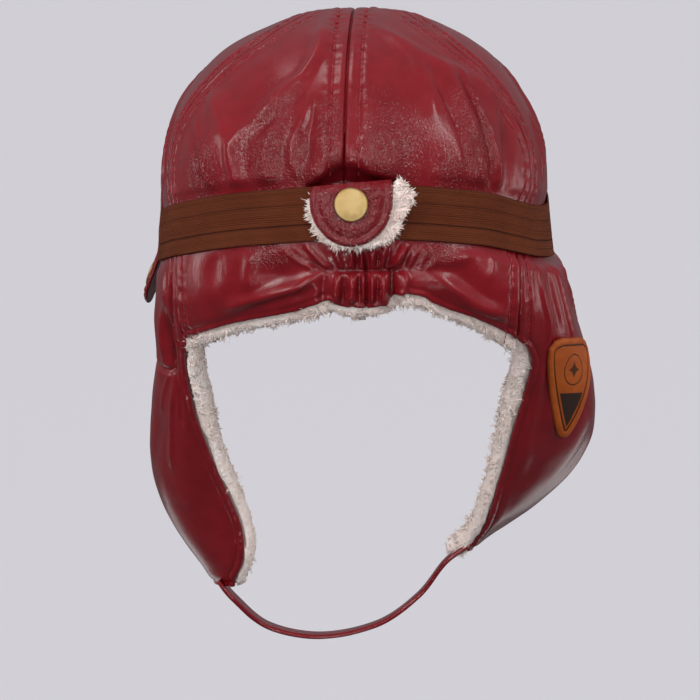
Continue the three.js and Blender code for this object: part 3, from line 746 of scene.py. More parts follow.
def leathercloth(shade):
    """Glossy burgundy coating with a pebble grain, which is strong where the cloth is crushed, with painted
    highlight on the folds' ridges and painted shade in their dips
    """
    here = shade.spot()
    drift = shade.noise(here, 9, 3.0)
    warp = shade.node("TexNoise", {}, {"Vector": here, "Scale": 0.5, "Detail": 2.0}, "Color")
    warped = shade.node("VectorMath", {"operation": "MULTIPLY_ADD"},
                        {0: warp, 1: (1.8, 1.8, 1.8), 2: here})
    pebbles = shade.walls(warped, 0.6).within(0.0, 0.45)
    pores = shade.walls(warped, 1.5).within(0.0, 0.2)
    crush = shade.mark("crush")
    lift = shade.mark("lift")
    # Masks for the painted highlight on the folds' ridges and the painted shade in their dips
    ridge_highlight, dip_shade = lift.within(0.4, 3.0), (0 - lift).within(0.4, 3.6)
    base = drift.within(0.3, 0.7).blend(colour(118, 17, 25), colour(126, 20, 29))
    # Painted highlight: lighter red on the ridges. Painted shade: darker red down in the dips.
    base = (ridge_highlight * 0.3).blend(base, colour(134, 25, 34))
    base = (dip_shade * 0.6).blend(base, colour(86, 9, 13))
    base = ((1 - pebbles) * (0.05 + 0.4 * crush)).blend(base, colour(74, 8, 13))
    height = pebbles * (0.1 + crush) + pores * 0.05
    height = height + shade.noise(here, 0.5, 2.0) * (0.05 + 0.2 * crush)
    return {
        "Base Color": base,
        "Roughness": 0.15 + 0.06 * drift + 0.04 * (1 - pebbles),
        "Specular IOR Level": 0.46,
        "Coat Weight": 0.05,
        "Coat Roughness": 0.12,
        "Normal": shade.bump(height, 0.24),
    }


burgundy = finish("burgundy leathercloth", leathercloth)


BELOW_SEAMS = -200


def panel_edges(name, panel):
    """The panel's seams and its free edges, each as a line of places"""
    levels = np.linspace(TOP_LEVEL, 17.5, 900)
    first, last = place(panel["first"](levels), levels), place(panel["last"](levels), levels)
    side = "side" in name
    sewn_first = height_at(levels) > (FLAP_TOP if side else BELOW_SEAMS)
    sewn_last = height_at(levels) > (BROW_CORNER if side else BELOW_SEAMS)
    seams = [first[sewn_first], last[sewn_last]]
    hems = []
    if side:
        tip = flap_tip[name.split("_")[2]]
        low = height_at(levels) > tip
        hems += [first[~sewn_first & low], last[~sewn_last & low]]
        bottom = level_at(tip)
        angles = np.linspace(panel["first"](bottom), panel["last"](bottom), 40)
    else:
        angles = np.linspace(panel["first"](9.0), panel["last"](9.0), 260)
        if "front" in name:
            angles = np.linspace(panel["first"](7.0), panel["last"](7.0), 160)
    hems.append(place(angles, level_at(panel["bottom"](angles))))
    return seams, hems


# Where the leather is crushed: angle and height, and how far round and down from there
crushed = [(-38, -74, 6, 17), (-19, -64, 7, 26), (-10, -72, 4, 14), (-4, -58, 4, 18),
           (9, -62, 7, 24), (24, -76, 5, 12), (31, -60, 6, 28), (-19, -110, 6, 5),
           (21, -109, 6, 6), (100, -70, 14, 16), (-104, -66, 14, 16), (140, -52, 14, 14),
           (-142, -52, 14, 14)]


def crush_at(angle, height):
    """How crushed the leather is, from 0 to 1"""
    most = 0.0
    for middle, z, wide, tall in crushed:
        round_way = turn_from(angle, middle) / wide
        most = np.maximum(most, np.exp(-((round_way**2 + ((height - z) / tall) ** 2) ** 1.5)))
    return most


for name, panel in panels.items():
    angle, level = spread_grid(panel, panel["columns"], panel["rows"])
    points, normals = place(angle, level), outward(angle, level)
    lift = fold_lift(angle, level, points, normals)
    smooth_lift = lift.copy()
    seams, hems = panel_edges(name, panel)
    fade = step(level, 0.25, 1.1)
    fall = np.zeros(level.shape)
    for line in seams:
        gap, run = edge_gap(points, line)
        lift += fade * seam_lift(gap, run) - (1 - fade) * 0.8 * hump(gap, 0, 0.8)
        fall = np.maximum(fall, rounded(gap, 0.8))
    for line in hems:
        gap, run = edge_gap(points, line)
        lift += hem_lift(gap, run)
        fall = np.maximum(fall, rounded(gap, 1.0))
    outer = points + normals * (lift - fall)[..., None]
    inner = points + normals * (np.minimum(smooth_lift, 3) * 0.9 - WALL + 0.6 * fall)[..., None]
    # The lift mark also tells the leathercloth where to paint highlight on ridges and shade in dips
    leather = shell_piece(name, outer, inner, burgundy,
                          {"lift": lift, "crush": crush_at(angle, points[..., 2])})
    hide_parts(name)


# Topstitching
# Matching red thread in a row on each side of every seam, through the pressed seam allowance.
# Each stitch is a separate length of thread.

THREAD = 0.27
STITCH, STITCH_STEP = 2.5, 3.2


def surface_at(points):
    """The angle and level of the outer face nearest to places beside it"""
    level = level_at(points[..., 2])
    middle = np.interp(level, level_grid, finely["middle"])
    return np.degrees(np.arctan2(points[..., 0], middle - points[..., 1])), level


def evenly(line, spacing):
    """Places an even distance apart along a line"""
    run = way_along(line)
    at = np.arange(spacing / 2, run[-1], spacing)
    return np.stack([np.interp(at, run, line[:, k]) for k in range(3)], -1), at


def ring_faces(rows, around):
    """Faces of a grid whose rows close on themselves, as round a tube"""
    row, column = np.arange(rows)[:, None] * around, np.arange(around)
    here, after = (row + column).ravel(), (row + (column + 1) % around).ravel()
    return np.stack([here, after, after + around, here + around], 1)


def stitched(middles, ways, normals, length, thick):
    """Points and faces of one thread per stitch, its ends drawn into the leather"""
    share = np.array([-0.5, -0.36, 0, 0.36, 0.5])
    size = np.array([0.45, 0.95, 1, 0.95, 0.45]) * thick
    rise = np.array([-0.9, 0.1, 0.45, 0.1, -0.9]) * thick
    turn = np.linspace(0, 2 * np.pi, 6, endpoint=False)
    aside = np.cross(normals, ways)[:, None, None]
    spine = middles[:, None] + ways[:, None] * (share * length)[None, :, None]
    spine = spine + normals[:, None] * rise[None, :, None]
    sine, cosine = np.sin(turn)[:, None], np.cos(turn)[:, None]
    ring = cosine * aside + sine * normals[:, None, None]
    points = spine[:, :, None] + size[None, :, None, None] * ring
    faces = ring_faces(4, 6).tolist() + [[5, 4, 3, 2, 1, 0], [24, 25, 26, 27, 28, 29]]
    every = [[corner + 30 * n for corner in face] for n in range(len(middles)) for face in faces]
    return points.reshape(-1, 3), every


def red_thread(shade):
    """Twisted polyester thread"""
    here = shade.spot()
    twist = shade.noise(here, 0.3, 1.0)
    return {
        "Base Color": twist.blend(colour(124, 16, 28), colour(170, 36, 48)),
        "Roughness": 0.55,
        "Normal": shade.bump(twist, 0.08),
    }


thread = finish("red thread", red_thread)
seam_ends = {"centre": -130, "back_left": -146, "back_right": -147, "front_left": -75,
             "front_right": -75, "centre_front": -64}
middles, ways, normals = [], [], []
for name, end in seam_ends.items():
    levels = np.linspace(1.0, level_at(end), 700)
    seam = place(seam_at(name, levels), levels)
    across = unit(np.cross(unit(np.gradient(seam, axis=0)), outward(seam_at(name, levels), levels)))
    for side in (-1, 1):
        line = seam + side * STITCH_ROW * across
        spots, run = evenly(line, STITCH_STEP)
        angle, level = surface_at(spots)
        base, normal = place(angle, level), outward(angle, level)
        lift = fold_lift(angle, level, base, normal) + seam_lift(STITCH_ROW + 0 * run, run)
        way = unit(np.gradient(base, axis=0))
        shown = np.abs(base[:, 2] - strap_height(angle)) > STRAP_COVERS
        shown &= (np.abs(turn_from(angle, KEEPER_ANGLE)) > 11) | (np.abs(base[:, 2] + 90) > 15)
        middles.append((base + normal * (lift + 0.12)[:, None])[shown])
        ways.append(way[shown])
        normals.append(normal[shown])
points, faces = stitched(np.concatenate(middles), np.concatenate(ways), np.concatenate(normals),
                         STITCH, THREAD)
stitching = piece("seam_stitching", points, faces, thread)


# Fleece lining
# Off-white sherpa, a knitted ground with a deep curly pile, cut in the same panels as the
# leather. It is sewn to the leather's edges and its pile stands out past them all round.

FLEECE = 7.2

# How much pile shows past the leather: at angles along the nape, at heights down the flaps'
# rear edges, and all along the brow. The flaps' front edges show what is shown low down behind.
nape_shows = [(-57, 7.0), (-40, 5.9), (-20, 5.8), (-11, 6.9), (-7, 7.6), (-3, 5.6), (8, 5.6),
              (11, 7.6), (15, 7.6), (19, 6.1), (30, 5.8), (42, 6.4), (49, 7.4)]
flap_shows = [(-285, 4.2), (-240, 4.2), (-215, 5.2), (-195, 6.4), (-180, 8.2), (-160, 8.4),
              (-150, 7.0)]
BROW_SHOWS, LOW_DOWN = 4.2, -200


def sherpa(shade):
    """Soft off-white pile, with painted shade that makes it a little warmer and darker down between its
    curls
    """
    here = shade.spot()
    curls = shade.noise(here, 2.2, 3.0, 0.6)
    drift = shade.noise(here, 18, 2.0)
    # Painted shade: the pile is darker and warmer down in the hollows between its curls
    base = curls.within(0.3, 0.6).blend(colour(245, 222, 214), colour(255, 243, 237))
    base = (drift.within(0.4, 0.7) * 0.35).blend(base, colour(242, 220, 210))
    height = curls + 0.5 * shade.noise(here, 0.7, 2.0)
    return {
        "Base Color": base,
        "Roughness": 0.96,
        "Specular IOR Level": 0.1,
        "Sheen Weight": 0.3,
        "Sheen Roughness": 0.5,
        "Normal": shade.bump(height, 0.6),
    }


fleece = finish("off-white sherpa", sherpa)


def fleece_reach(name, panel):
    """The lining's panel: the leather's, reaching past it wherever its edge is free"""
    side = "left" if "left" in name else "right"
    way = 1 if name == "panel_side_right" else -1

    def past(level):
        z = height_at(level)
        rear = step(FLAP_TOP - z, 0, 5) * edge_between(flap_shows, z)
        front = step(BROW_CORNER - 2 - z, 0, 7) * edge_between(flap_shows, np.minimum(z, LOW_DOWN))
        return rear, front, np.degrees(1 / reach(mirrored(side) * 90.0, level))

    def first(level):
        rear, front, turn = past(level)
        return panel["first"](level) - (way * rear * turn if "side" in name else 0)

    def last(level):
        rear, front, turn = past(level)
        return panel["last"](level) + (way * front * turn if "side" in name else 0)

    def bottom(angle):
        shows = edge_between(nape_shows, angle) if "back" in name else BROW_SHOWS
        return panel["bottom"](angle) - shows

    return dict(first=first, last=last, bottom=bottom)


def lowest_near(values):
    """The least of each grid value and those up to two steps from it"""
    for axis in (0, 1):
        padded = np.concatenate([values.take([0, 0], axis), values, values.take([-1, -1], axis)], axis)
        count = values.shape[axis]
        values = np.min([padded.take(range(k, k + count), axis) for k in range(5)], axis=0)
    return values


def under_leather(panel, angle, level, slack):
    """Whether places lie within the leather's edges, or up to a slack past its sides"""
    first, last = panel["first"](level), panel["last"](level)
    low, high = np.minimum(first, last), np.maximum(first, last)
    turn = np.degrees(slack / reach(angle, level))
    angle = np.where(angle < low.min() - 60, angle + 360, angle)
    inside = (angle > low - turn) & (angle < high + turn)
    return inside & (height_at(level) > panel["bottom"](angle))


def curls_at(points):
    return (0.9 * unevenness(points, 5.5, 21) + 0.7 * unevenness(points, 2.6, 22)
            + 0.25 * unevenness(points, 1.3, 23))


LOCK_POINTS = 10


def pile(roots, directions, lengths, thick, seed):
    """Points and faces of tapered locks of pile that curl over as they rise"""
    draw = np.random.default_rng(seed)
    count = len(roots)
    curl = unit(draw.normal(size=(count, 3)) + 1.5 * np.stack(
        [unevenness(roots, 3.5, seed + k) for k in range(3)], -1))
    side = unit(np.cross(directions, curl))
    other = unit(np.cross(side, directions))
    turn = np.array([0, 2 * np.pi / 3, 4 * np.pi / 3])
    ring = np.cos(turn)[None, :, None] * side[:, None] + np.sin(turn)[None, :, None] * other[:, None]
    points = []
    for share, size in ((0, 0.8), (0.4, 1.0), (0.75, 0.62)):
        spine = roots + directions * (lengths * share)[:, None] + curl * (lengths * 0.7 * share**2)[:, None]
        points.append(spine[:, None] + ring * (thick * size)[:, None, None])
    tip = roots + directions * (lengths * 0.86)[:, None] + curl * (lengths * 0.75)[:, None]
    points = np.concatenate([*points, tip[:, None]], 1)
    one_lock = [[0, 1, 2], *ring_faces(2, 3)[:, ::-1], [9, 7, 6], [9, 8, 7], [9, 6, 8]]
    start = (np.arange(count) * LOCK_POINTS)[:, None]
    faces = [face for corners in one_lock for face in (start + corners).tolist()]
    return points.reshape(-1, 3), faces


def with_locks(points, faces, density, length, seed, lean=None):
    """Add locks of pile over a fleece's faces, as many to the square mm of each as given"""
    draw = np.random.default_rng(seed)
    corners = points[quads_of(faces)]
    normals = np.cross(corners[:, 2] - corners[:, 0], corners[:, 3] - corners[:, 1])
    areas = np.linalg.norm(normals, axis=1) / 2
    number = draw.poisson(np.clip(density * areas, 0, 40))
    chosen = np.repeat(np.arange(len(faces)), number)
    across, down = draw.random((2, len(chosen), 1))
    a, b, c, d = (corners[chosen, k] for k in range(4))
    roots = (a * (1 - across) + d * across) * (1 - down) + (b * (1 - across) + c * across) * down
    clumps = np.stack([unevenness(roots, 3.4, seed + 50 + k) for k in range(3)], -1)
    ways = 0.65 * unit(normals)[chosen] + 0.22 * draw.normal(size=roots.shape) + 1.0 * unit(clumps)
    if lean is not None:
        ways = ways + lean(roots)
    ways = unit(ways)
    wisp = draw.random(len(roots)) < 0.2
    lengths = length * (0.6 + 0.6 * draw.random(len(roots))) * np.where(wisp, 1.4, 1)
    thick = np.where(wisp, 0.15, 0.36) * (0.7 + 0.6 * draw.random(len(roots)))
    locks, lock_faces = pile(roots - ways * 0.5, ways, lengths, thick, seed + 100)
    joined = [[corner + len(points) for corner in face] for face in lock_faces]
    return np.concatenate([points, locks]), turned_out(points, faces) + joined


for number, (name, panel) in enumerate(panels.items()):
    spread = fleece_reach(name, panel)
    columns, rows = 2 * (panel["columns"] // 4), 2 * (panel["rows"] // 4)
    angle, level = spread_grid(spread, columns, rows, 0.03)
    base, normal = place(angle, level), outward(angle, level)
    lift = np.clip(fold_lift(angle, level, base, normal), -7, 0.8)
    _, hems = panel_edges(name, panel)
    levels = np.linspace(0.05, 17.9, 500)
    own = []
    if "side" in name:
        tip = flap_tip[name.split("_")[2]] - BROW_SHOWS
        for edge, top in (("first", FLAP_TOP - 6), ("last", BROW_CORNER - 7)):
            line = place(spread[edge](levels), levels)
            own.append(line[(line[:, 2] < top) & (line[:, 2] > tip)])
        angles = np.linspace(spread["first"](level_at(tip)), spread["last"](level_at(tip)), 40)
    else:
        angles = np.linspace(spread["first"](7.0), spread["last"](7.0), 200)
    own.append(place(angles, level_at(spread["bottom"](angles))))
    fall = np.zeros(level.shape)
    for line in own:
        gap, _ = edge_gap(base, line)
        fall = np.maximum(fall, rounded(gap, FLEECE / 2))
    beyond = ~under_leather(panel, angle, level, 0.3)
    depth = np.where(beyond, 0.9, WALL + 1.2)
    rough = curls_at(base)
    outer = base + normal * (lowest_near(lift) - depth - fall + 0.7 * beyond * rough)[..., None]
    inner_depth = np.maximum(FLEECE + 2, 4.5 - lift)
    inner = base - normal * (inner_depth - fall + 0.9 * rough)[..., None]
    points, faces = shell(inner, outer)
    faces = [face[::-1] for face in faces]

    # Dense locks along the free edges and sparse ones inside, none between leather and lining
    centres = points[quads_of(faces)].mean(1)
    angle, level = surface_at(centres)
    if "front" in name:
        angle = angle % 360
    gap, _ = edge_gap(centres[None], np.concatenate(hems)[::3])
    inside = np.arange(len(faces)) < rows * columns
    hidden = under_leather(panel, angle, level, 1.0) & ~inside
    density = np.where(hidden, 0, np.where(gap[0] < 11, 0.86, 0.04 * inside))
    points, faces = with_locks(points, faces, density, 2.3, 40 + number)
    lining = piece(name.replace("panel", "lining"), points, faces, fleece)
    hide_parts(name.replace("panel", "lining"))


# Elastic strap
# One loop of brown woven elastic, 24 mm wide, that runs round the crown over the seams. Its
# rubber cores show as fine ribs along it, and it is stitched into a loop at the front.

STRAP_THICK, RIB, GROOVE_AT = 1.1, 0.98, 16.6


def strap_cloth(shade):
    """Brown warp over rubber cores, which stand out as fine ribs with dark gaps between them, with painted
    shade along both edges of the strap
    """
    along, across = shade.mark("along"), shade.mark("across")
    flat = shade.node("CombineXYZ", {}, {"X": along, "Y": across, "Z": 0.0})
    drift = shade.noise(flat, 26, 2.0)
    rib = (across + shade.noise(flat.times(0.05, 0.2, 1), 1.0, 2.0) * 0.5) * (1 / RIB)
    gaps = abs(rib.math("FRACT") - 0.5).within(0.24, 0.5)
    number = shade.node("TexNoise", {"noise_dimensions": "1D"},
                        {"W": rib.math("FLOOR") * 3.7, "Scale": 1.0, "Detail": 0.0})
    strength = (number + 0.25 * shade.noise(flat, 9, 1.0)).within(0.45, 0.85)
    weave = (along * (2 * math.pi / 0.62) + across * 1.9).math("SINE")
    line = 1 - abs(across - GROOVE_AT).within(0.15, 0.6)
    second = 1 - abs(across - 7.4).within(0.1, 0.45)
    shaded_rims = abs(across - STRAP_WIDTH / 2).within(11.0, 12)
    flecks = shade.noise(flat.times(0.5, 2, 1), 0.8, 1.0).within(0.72, 0.8)
    base = drift.within(0.3, 0.7).blend(colour(88, 41, 23), colour(98, 47, 27))
    base = (weave.within(-1, 1) * 0.22).blend(base, colour(124, 67, 40))
    base = (gaps * (0.25 + 0.7 * strength)).blend(base, colour(44, 19, 11))
    base = (line * 0.65 + second * 0.3).blend(base, colour(34, 14, 8))
    # Painted shade: the strap is darker towards both its rounded edges
    base = (shaded_rims * 0.55).blend(base, colour(44, 20, 12))
    base = (flecks * 0.5).blend(base, colour(150, 104, 72))
    return {
        "Base Color": base,
        "Roughness": 0.85,
        "Specular IOR Level": 0.12,
        "Normal": shade.bump(weave * 0.35 - gaps * (0.5 + strength), 0.16),
    }


elastic = finish("brown elastic", strap_cloth)
around, rows = 340, 96
turn = np.linspace(-180, 180, around, endpoint=False)[None] + np.zeros((rows + 1, 1))
across = np.linspace(0, STRAP_WIDTH, rows + 1)[:, None] + 0 * turn
middle_line = place(turn[0], level_at(strap_height(turn[0])))
way = np.linalg.norm(np.roll(middle_line, -1, 0) - middle_line, axis=1)
run = np.concatenate([[0], np.cumsum(way)])[:-1][None] + 0 * turn
edge_waves = 0.35 * unevenness(np.stack([run, 0 * run, 0 * run], -1), 17, 31)
height = strap_height(turn) + STRAP_WIDTH / 2 - across + edge_waves
level = level_at(height)
over_seams = 0.0
for name in ("back_left", "back_right", "front_left", "front_right", "centre_front"):
    gap = turn_from(turn, seam_at(name, level)) * np.radians(1) * reach(turn, level)
    over_seams = over_seams + 0.7 * hump(gap, 0, 5.5) - 0.3 * hump(gap, 0, 1.3)
sag = 0.25 * unevenness(place(turn, level), 30, 32)
edge = np.minimum(across, STRAP_WIDTH - across)
ribs = 0.08 * np.cos(across * 2 * np.pi / RIB)
groove = -0.3 * hump(across, GROOVE_AT, 0.4)


def beside_band(lift):
    """Places on the strap's straight band, some way out from where it touches the leather"""
    radius = strap_reach(turn, height) + lift
    way = np.radians(turn)
    middle = np.interp(level, level_grid, finely["middle"])
    return np.stack([radius * np.sin(way), middle - radius * np.cos(way), height], -1)


low = 0.15 + over_seams + sag
outer = beside_band(low + STRAP_THICK + ribs + groove - rounded(edge, 0.5))
inner = beside_band(low + rounded(edge, 0.5))

# Down the outer side, back up the inner one on every eighth row, and round to the start
skin = np.concatenate([outer, inner[::-8]]).reshape(-1, 3)
faces = (ring_faces(len(skin) // around, around) % len(skin))[:, ::-1].tolist()
marks = {"along": np.concatenate([run, run[::-8]]).ravel(),
         "across": np.concatenate([across, across[::-8]]).ravel()}
strap = piece("elastic_strap_woven", skin, faces, elastic, marks)
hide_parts("elastic_strap")


# Keeper tabs
# A half-round leather tab at the centre back and a longer one at the left side hold the strap
# down. Each is two layers of leathercloth with turned edges, sewn in above the strap and
# snapped to the hat below it; the back one has a piece of the sherpa behind it.

KEEPER_STEP = 3.5
back_keeper = dict(angle=KEEPER_ANGLE, top=-78.5, half=17.4, straight=7.5, end=19.5, slope=0.09,
                   thick=1.8, dome=1.2, snap=9.1)
left_keeper = dict(angle=-100.5, top=-65, half=11.5, straight=50.5, end=14, slope=0, thick=1.3,
                   dome=0.5, snap=50.0)
PAD_LIFT, PAD_THICK = 2.4, 2.6


def above(angle, sideways, z, lift):
    """A place above the smooth face, some way sideways from an angle, at a height"""
    level = level_at(z)
    angle = angle + np.degrees(sideways / reach(angle, level))
    return place(angle, level) + outward(angle, level) * np.asarray(lift)[..., None]


def back_lift(down):
    return 0.6 + (PAD_LIFT + PAD_THICK - 0.6) * step(down, -1.5, KEEPER_STEP)


def left_lift(down):
    return 0.2 + 0.3 * step(down, 0, KEEPER_STEP) + 7.2 * step(down, 38, 68)


def side_to_side(columns):
    """Shares from -1 to 1 that stand closer together towards both sides"""
    return np.sin(np.linspace(-1, 1, columns + 1) * np.pi / 2 * 0.86) / math.sin(math.pi / 2 * 0.86)


def round_ended(tab, columns, rows):
    """Sideways and down of a grid over a tab whose lower end is half an ellipse"""
    share, straight = np.linspace(0, 1, rows + 1), tab["straight"]
    turn = np.radians(88) * np.clip((share - 0.4) / 0.6, 0, 1)
    down = np.where(share < 0.4, straight * share / 0.4, straight + tab["end"] * np.sin(turn))
    sideways = side_to_side(columns)[None] * (tab["half"] * np.cos(turn))[:, None]
    return sideways, down[:, None] + 0 * sideways


def outline_gap(sideways, down, open_top=True):
    """Each place's distance to its own grid's outline"""
    flat = np.stack([sideways, down, 0 * down], -1)
    border = np.concatenate([flat[:, 0], flat[-1], flat[::-1, -1]])
    if not open_top:
        border = np.concatenate([border, flat[0, ::-1]])
    ways = np.diff(border, axis=0)
    dense = np.concatenate([border[:-1] + ways * share for share in (0, 0.25, 0.5, 0.75)])
    gap = np.zeros(down.shape)
    for start in range(0, down.shape[0], 16):
        rows = flat[start : start + 16]
        gap[start : start + 16] = np.linalg.norm(rows[:, :, None] - dense[None, None], axis=-1).min(-1)
    return gap


def leather_tab(name, tab, lift_at, columns, rows):
    """A tab with a turned rim and a sewn groove, dimpled and puckered round its snap"""
    sideways, down = round_ended(tab, columns, rows)
    gap = outline_gap(sideways, down)
    z = tab["top"] - down + tab["slope"] * sideways * np.clip(1 - down / 18, 0, 1)
    from_snap = np.hypot(sideways, down - tab["snap"])
    creased = unevenness(np.stack([sideways * 1.6, down * 0.7, 0 * down + 3], -1), 3.4, 51)
    puckers = np.sin(17 * np.arctan2(sideways, down - tab["snap"]) + 3 * creased)
    lift = (tab["dome"] * (1 - np.clip(1 - gap / tab["half"], 0, 1) ** 2)
            + 0.55 * hump(gap, 1.7, 1.2) - 0.4 * hump(gap, 3.7, 1.0)
            - np.exp(-((from_snap / 8.5) ** 4)) + 0.45 * hump(from_snap, 10.2, 2.0)
            + 0.35 * creased
            + 0.3 * puckers * hump(from_snap, 10.4, 2.4) * (0.5 + creased.clip(-0.5, 1)))
    top = above(tab["angle"], sideways, z, lift_at(down) + tab["thick"] + lift - rounded(gap, 1.3))
    under = above(tab["angle"], sideways, z, lift_at(down) + 0.8 * rounded(gap, 1.0))
    return shell_piece(name, top, under, burgundy, {"lift": lift, "crush": 0 * lift + 0.8})


keeper = leather_tab("keeper_back_tab", back_keeper, back_lift, 64, 88)
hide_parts("keeper_back")
keeper = leather_tab("keeper_left_tab", left_keeper, left_lift, 48, 110)
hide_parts("keeper_left")

# The sherpa behind the back keeper, cut unevenly: height, left and right edge
pad_rows = np.array([(-81.5, -12, 20.4), (-82.5, -15, 22), (-84.5, -16.5, 24), (-87, -18, 26.6),
                     (-89.5, -18.4, 24.4), (-93, -17.8, 22.2), (-97, -16.4, 21), (-101, -14, 18.6),
                     (-104, -10.8, 14.5), (-105.7, -6.5, 9.5), (-106.4, -2, 5)], float)
share = np.linspace(0, len(pad_rows) - 1, 49)
down, left_edge, right_edge = (through(pad_rows[:, k], share)[:, None] for k in range(3))
way = side_to_side(40)[None]
sideways = (left_edge + right_edge) / 2 + way * (right_edge - left_edge) / 2
down = down + 0 * way
down = down + 4.6 * step(sideways, 17.4, 19.6) * step(down, -92, -81.5)
gap = outline_gap(sideways, -down, open_top=False)
rough = curls_at(above(back_keeper["angle"], sideways, down, 0 * down))
fall = rounded(gap, 1.3)
top = above(back_keeper["angle"], sideways, down, PAD_LIFT + PAD_THICK - fall + 0.35 * rough)
under = above(back_keeper["angle"], sideways, down, PAD_LIFT + fall)
points, faces = shell(top, under)
pad_middle = np.array([2.0, -112, -92])

# Locks only where it shows round the keeper's edge
centres = points[quads_of(faces)].mean(1)
from_side = np.abs(centres[:, 0] - 0.8) / back_keeper["half"]
from_top = np.clip(back_keeper["top"] - back_keeper["straight"] - centres[:, 2], 0, 99)
density = np.where(from_side**2 + (from_top / back_keeper["end"]) ** 2 < 0.9, 0.0, 2.2)


def pad_lean(roots):
    return unit((roots - pad_middle) * np.array([1, 0.1, 1]))


points, faces = with_locks(points, faces, density, 2.2, 71, pad_lean)
pad = piece("keeper_back_pile", points, faces, fleece)
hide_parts("keeper_back_fleece")


# Snaps
# Two brass snap caps, 15 mm across, pressed from sheet with a rolled rim and a low dome, each
# riveted through its keeper tab. The plating has a satin face, with painted shade on its rolled rim.

SNAP_RADIUS = 7.5


def satin_brass(shade):
    brushed = shade.noise(shade.spot(y=0.3), 0.5, 2.0)
    clouds = shade.noise(shade.spot(), 3.5, 3.0)
    rim = shade.mark("rim")
    base = clouds.within(0.35, 0.7).blend(colour(218, 188, 132), colour(208, 174, 114))
    # Painted shade: the rolled rim is darker where it turns down away from the face
    base = (rim.within(0.82, 1.0) * 0.5).blend(base, colour(150, 116, 62))
    return {
        "Base Color": base,
        "Metallic": 1.0,
        "Roughness": 0.42 + 0.08 * clouds + 0.06 * brushed,
        "Normal": shade.bump(brushed, 0.008),
    }


brass = finish("satin brass", satin_brass)


# The cap's section from the middle of its dome to the middle of its underside: radius, height
cap_section = [(0, 2.0), (1.5, 1.99), (3, 1.95), (4.4, 1.86), (5.4, 1.72), (6.2, 1.56), (6.7, 1.5),
               (6.9, 1.5), (7.15, 1.44), (7.32, 1.3), (7.44, 1.1), (7.5, 0.85), (7.45, 0.55),
               (7.25, 0.2), (6.8, 0.0), (3.0, 0.0), (0.0, 0.0)]


def snap_cap(name, node, tab, lift_at, around=72):
    """A cap turned round its axis, square on its tab"""
    def on_tab(sideways, lower):
        down = np.array(tab["snap"] + lower)
        return above(tab["angle"], np.array(sideways), tab["top"] - down, lift_at(down) + tab["thick"])

    half = SNAP_RADIUS - 3.8
    right = unit(on_tab(half, 0.0) - on_tab(-half, 0.0))
    out = unit(np.cross(on_tab(0.0, half) - on_tab(0.0, -half), right))
    turn = np.linspace(0, 2 * np.pi, around, endpoint=False)[:, None]
    ring = np.cos(turn) * right + np.sin(turn) * np.cross(out, right)
    points, rim = [], []
    for radius, height in cap_section:
        points.append(on_tab(0.0, 0.0) + out * (height + 0.75) + radius * ring)
        rim += [radius / SNAP_RADIUS if height > 0.3 else 1.0] * around
    faces = ring_faces(len(cap_section) - 1, around)[:, ::-1].tolist()
    cap = piece(name, np.concatenate(points), faces, brass, {"rim": rim})
    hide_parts(node)


snap_cap("snap_back_cap", "snap_back", back_keeper, back_lift)
snap_cap("snap_left_cap", "snap_left", left_keeper, left_lift)


# Patch
# A shield of tan leather sewn on the right ear flap, narrow end down, with a raised border and
# a tooled line inside it. Its lower half is stained dark, and the upper one has a small star.

PATCH_ANGLE, PATCH_TOP, PATCH_LENGTH, TOOLED_LINE, STAR_DOWN = 70, -146, 46.5, 3.5, 14.5

# Its outline: down from the top, half width, and how far its middle stands to the right
patch_rows = [(0, 11, 0), (1.5, 16.5, 0), (5, 19.3, 0), (10, 18.8, 0.3), (17, 16.2, 0.8),
              (25, 12.6, 1.3), (33, 8.9, 1.8), (40, 5.8, 2.3), (44.5, 3.6, 2.6), (46.5, 1.6, 2.7)]


def tan_leather(shade):
    across, down, edge = shade.mark("across"), shade.mark("down"), shade.mark("edge")
    drift = shade.noise(shade.spot(), 6, 3.0)
    pores = shade.walls(shade.spot(), 1.6).within(0.0, 0.12)
    line = 1 - abs(edge - TOOLED_LINE).within(0.28, 0.5)
    stain = edge.within(4.6, 4.9) * down.within(25.0, 25.5)
    below = down - STAR_DOWN
    star = 1 - (abs(across) ** 0.55 + abs(below) ** 0.55).within(2.35, 2.5)
    ring = 1 - abs((across * across + below * below) ** 0.5 - 6.9).within(0.22, 0.4)
    base = drift.within(0.3, 0.7).blend(colour(158, 72, 20), colour(176, 86, 27))
    base = ((1 - pores) * 0.3).blend(base, colour(124, 50, 14))
    base = (edge.within(1.0, 0.0) * 0.7).blend(base, colour(104, 42, 14))
    base = (stain * 0.96).blend(base, colour(34, 29, 26))
    dark = (line + star + ring).within(0.2, 0.9)
    base = (dark * 0.85).blend(base, colour(44, 26, 16))
    height = pores * 0.3 + drift * 0.3 - dark * 1.2 - stain * 0.5
    return {
        "Base Color": base,
        "Roughness": 0.42 + 0.15 * drift,
        "Specular IOR Level": 0.25,
        "Normal": shade.bump(height, 0.16),
    }


tan = finish("tan leather", tan_leather)
down_line = PATCH_LENGTH * crowded(120, 0.8)
half_line, shift_line = (np.interp(down_line, [row[0] for row in patch_rows],
                                   [row[k] for row in patch_rows]) for k in (1, 2))
sideways = side_to_side(60)[None] * half_line[:, None]
down = down_line[:, None] + 0 * sideways
gap = outline_gap(sideways, down, open_top=False)
lift = 0.35 * hump(gap, 1.9, 1.2) - 0.35 * hump(gap, TOOLED_LINE, 0.4)
placed = sideways + shift_line[:, None]
top = above(PATCH_ANGLE, placed, PATCH_TOP - down, 2.0 + lift - rounded(gap, 0.8))
under = above(PATCH_ANGLE, placed, PATCH_TOP - down, 0.5 + rounded(gap, 0.5))
patch = shell_piece("patch_tooled", top, under, tan, {"across": sideways, "down": down, "edge": gap})
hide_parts("patch")


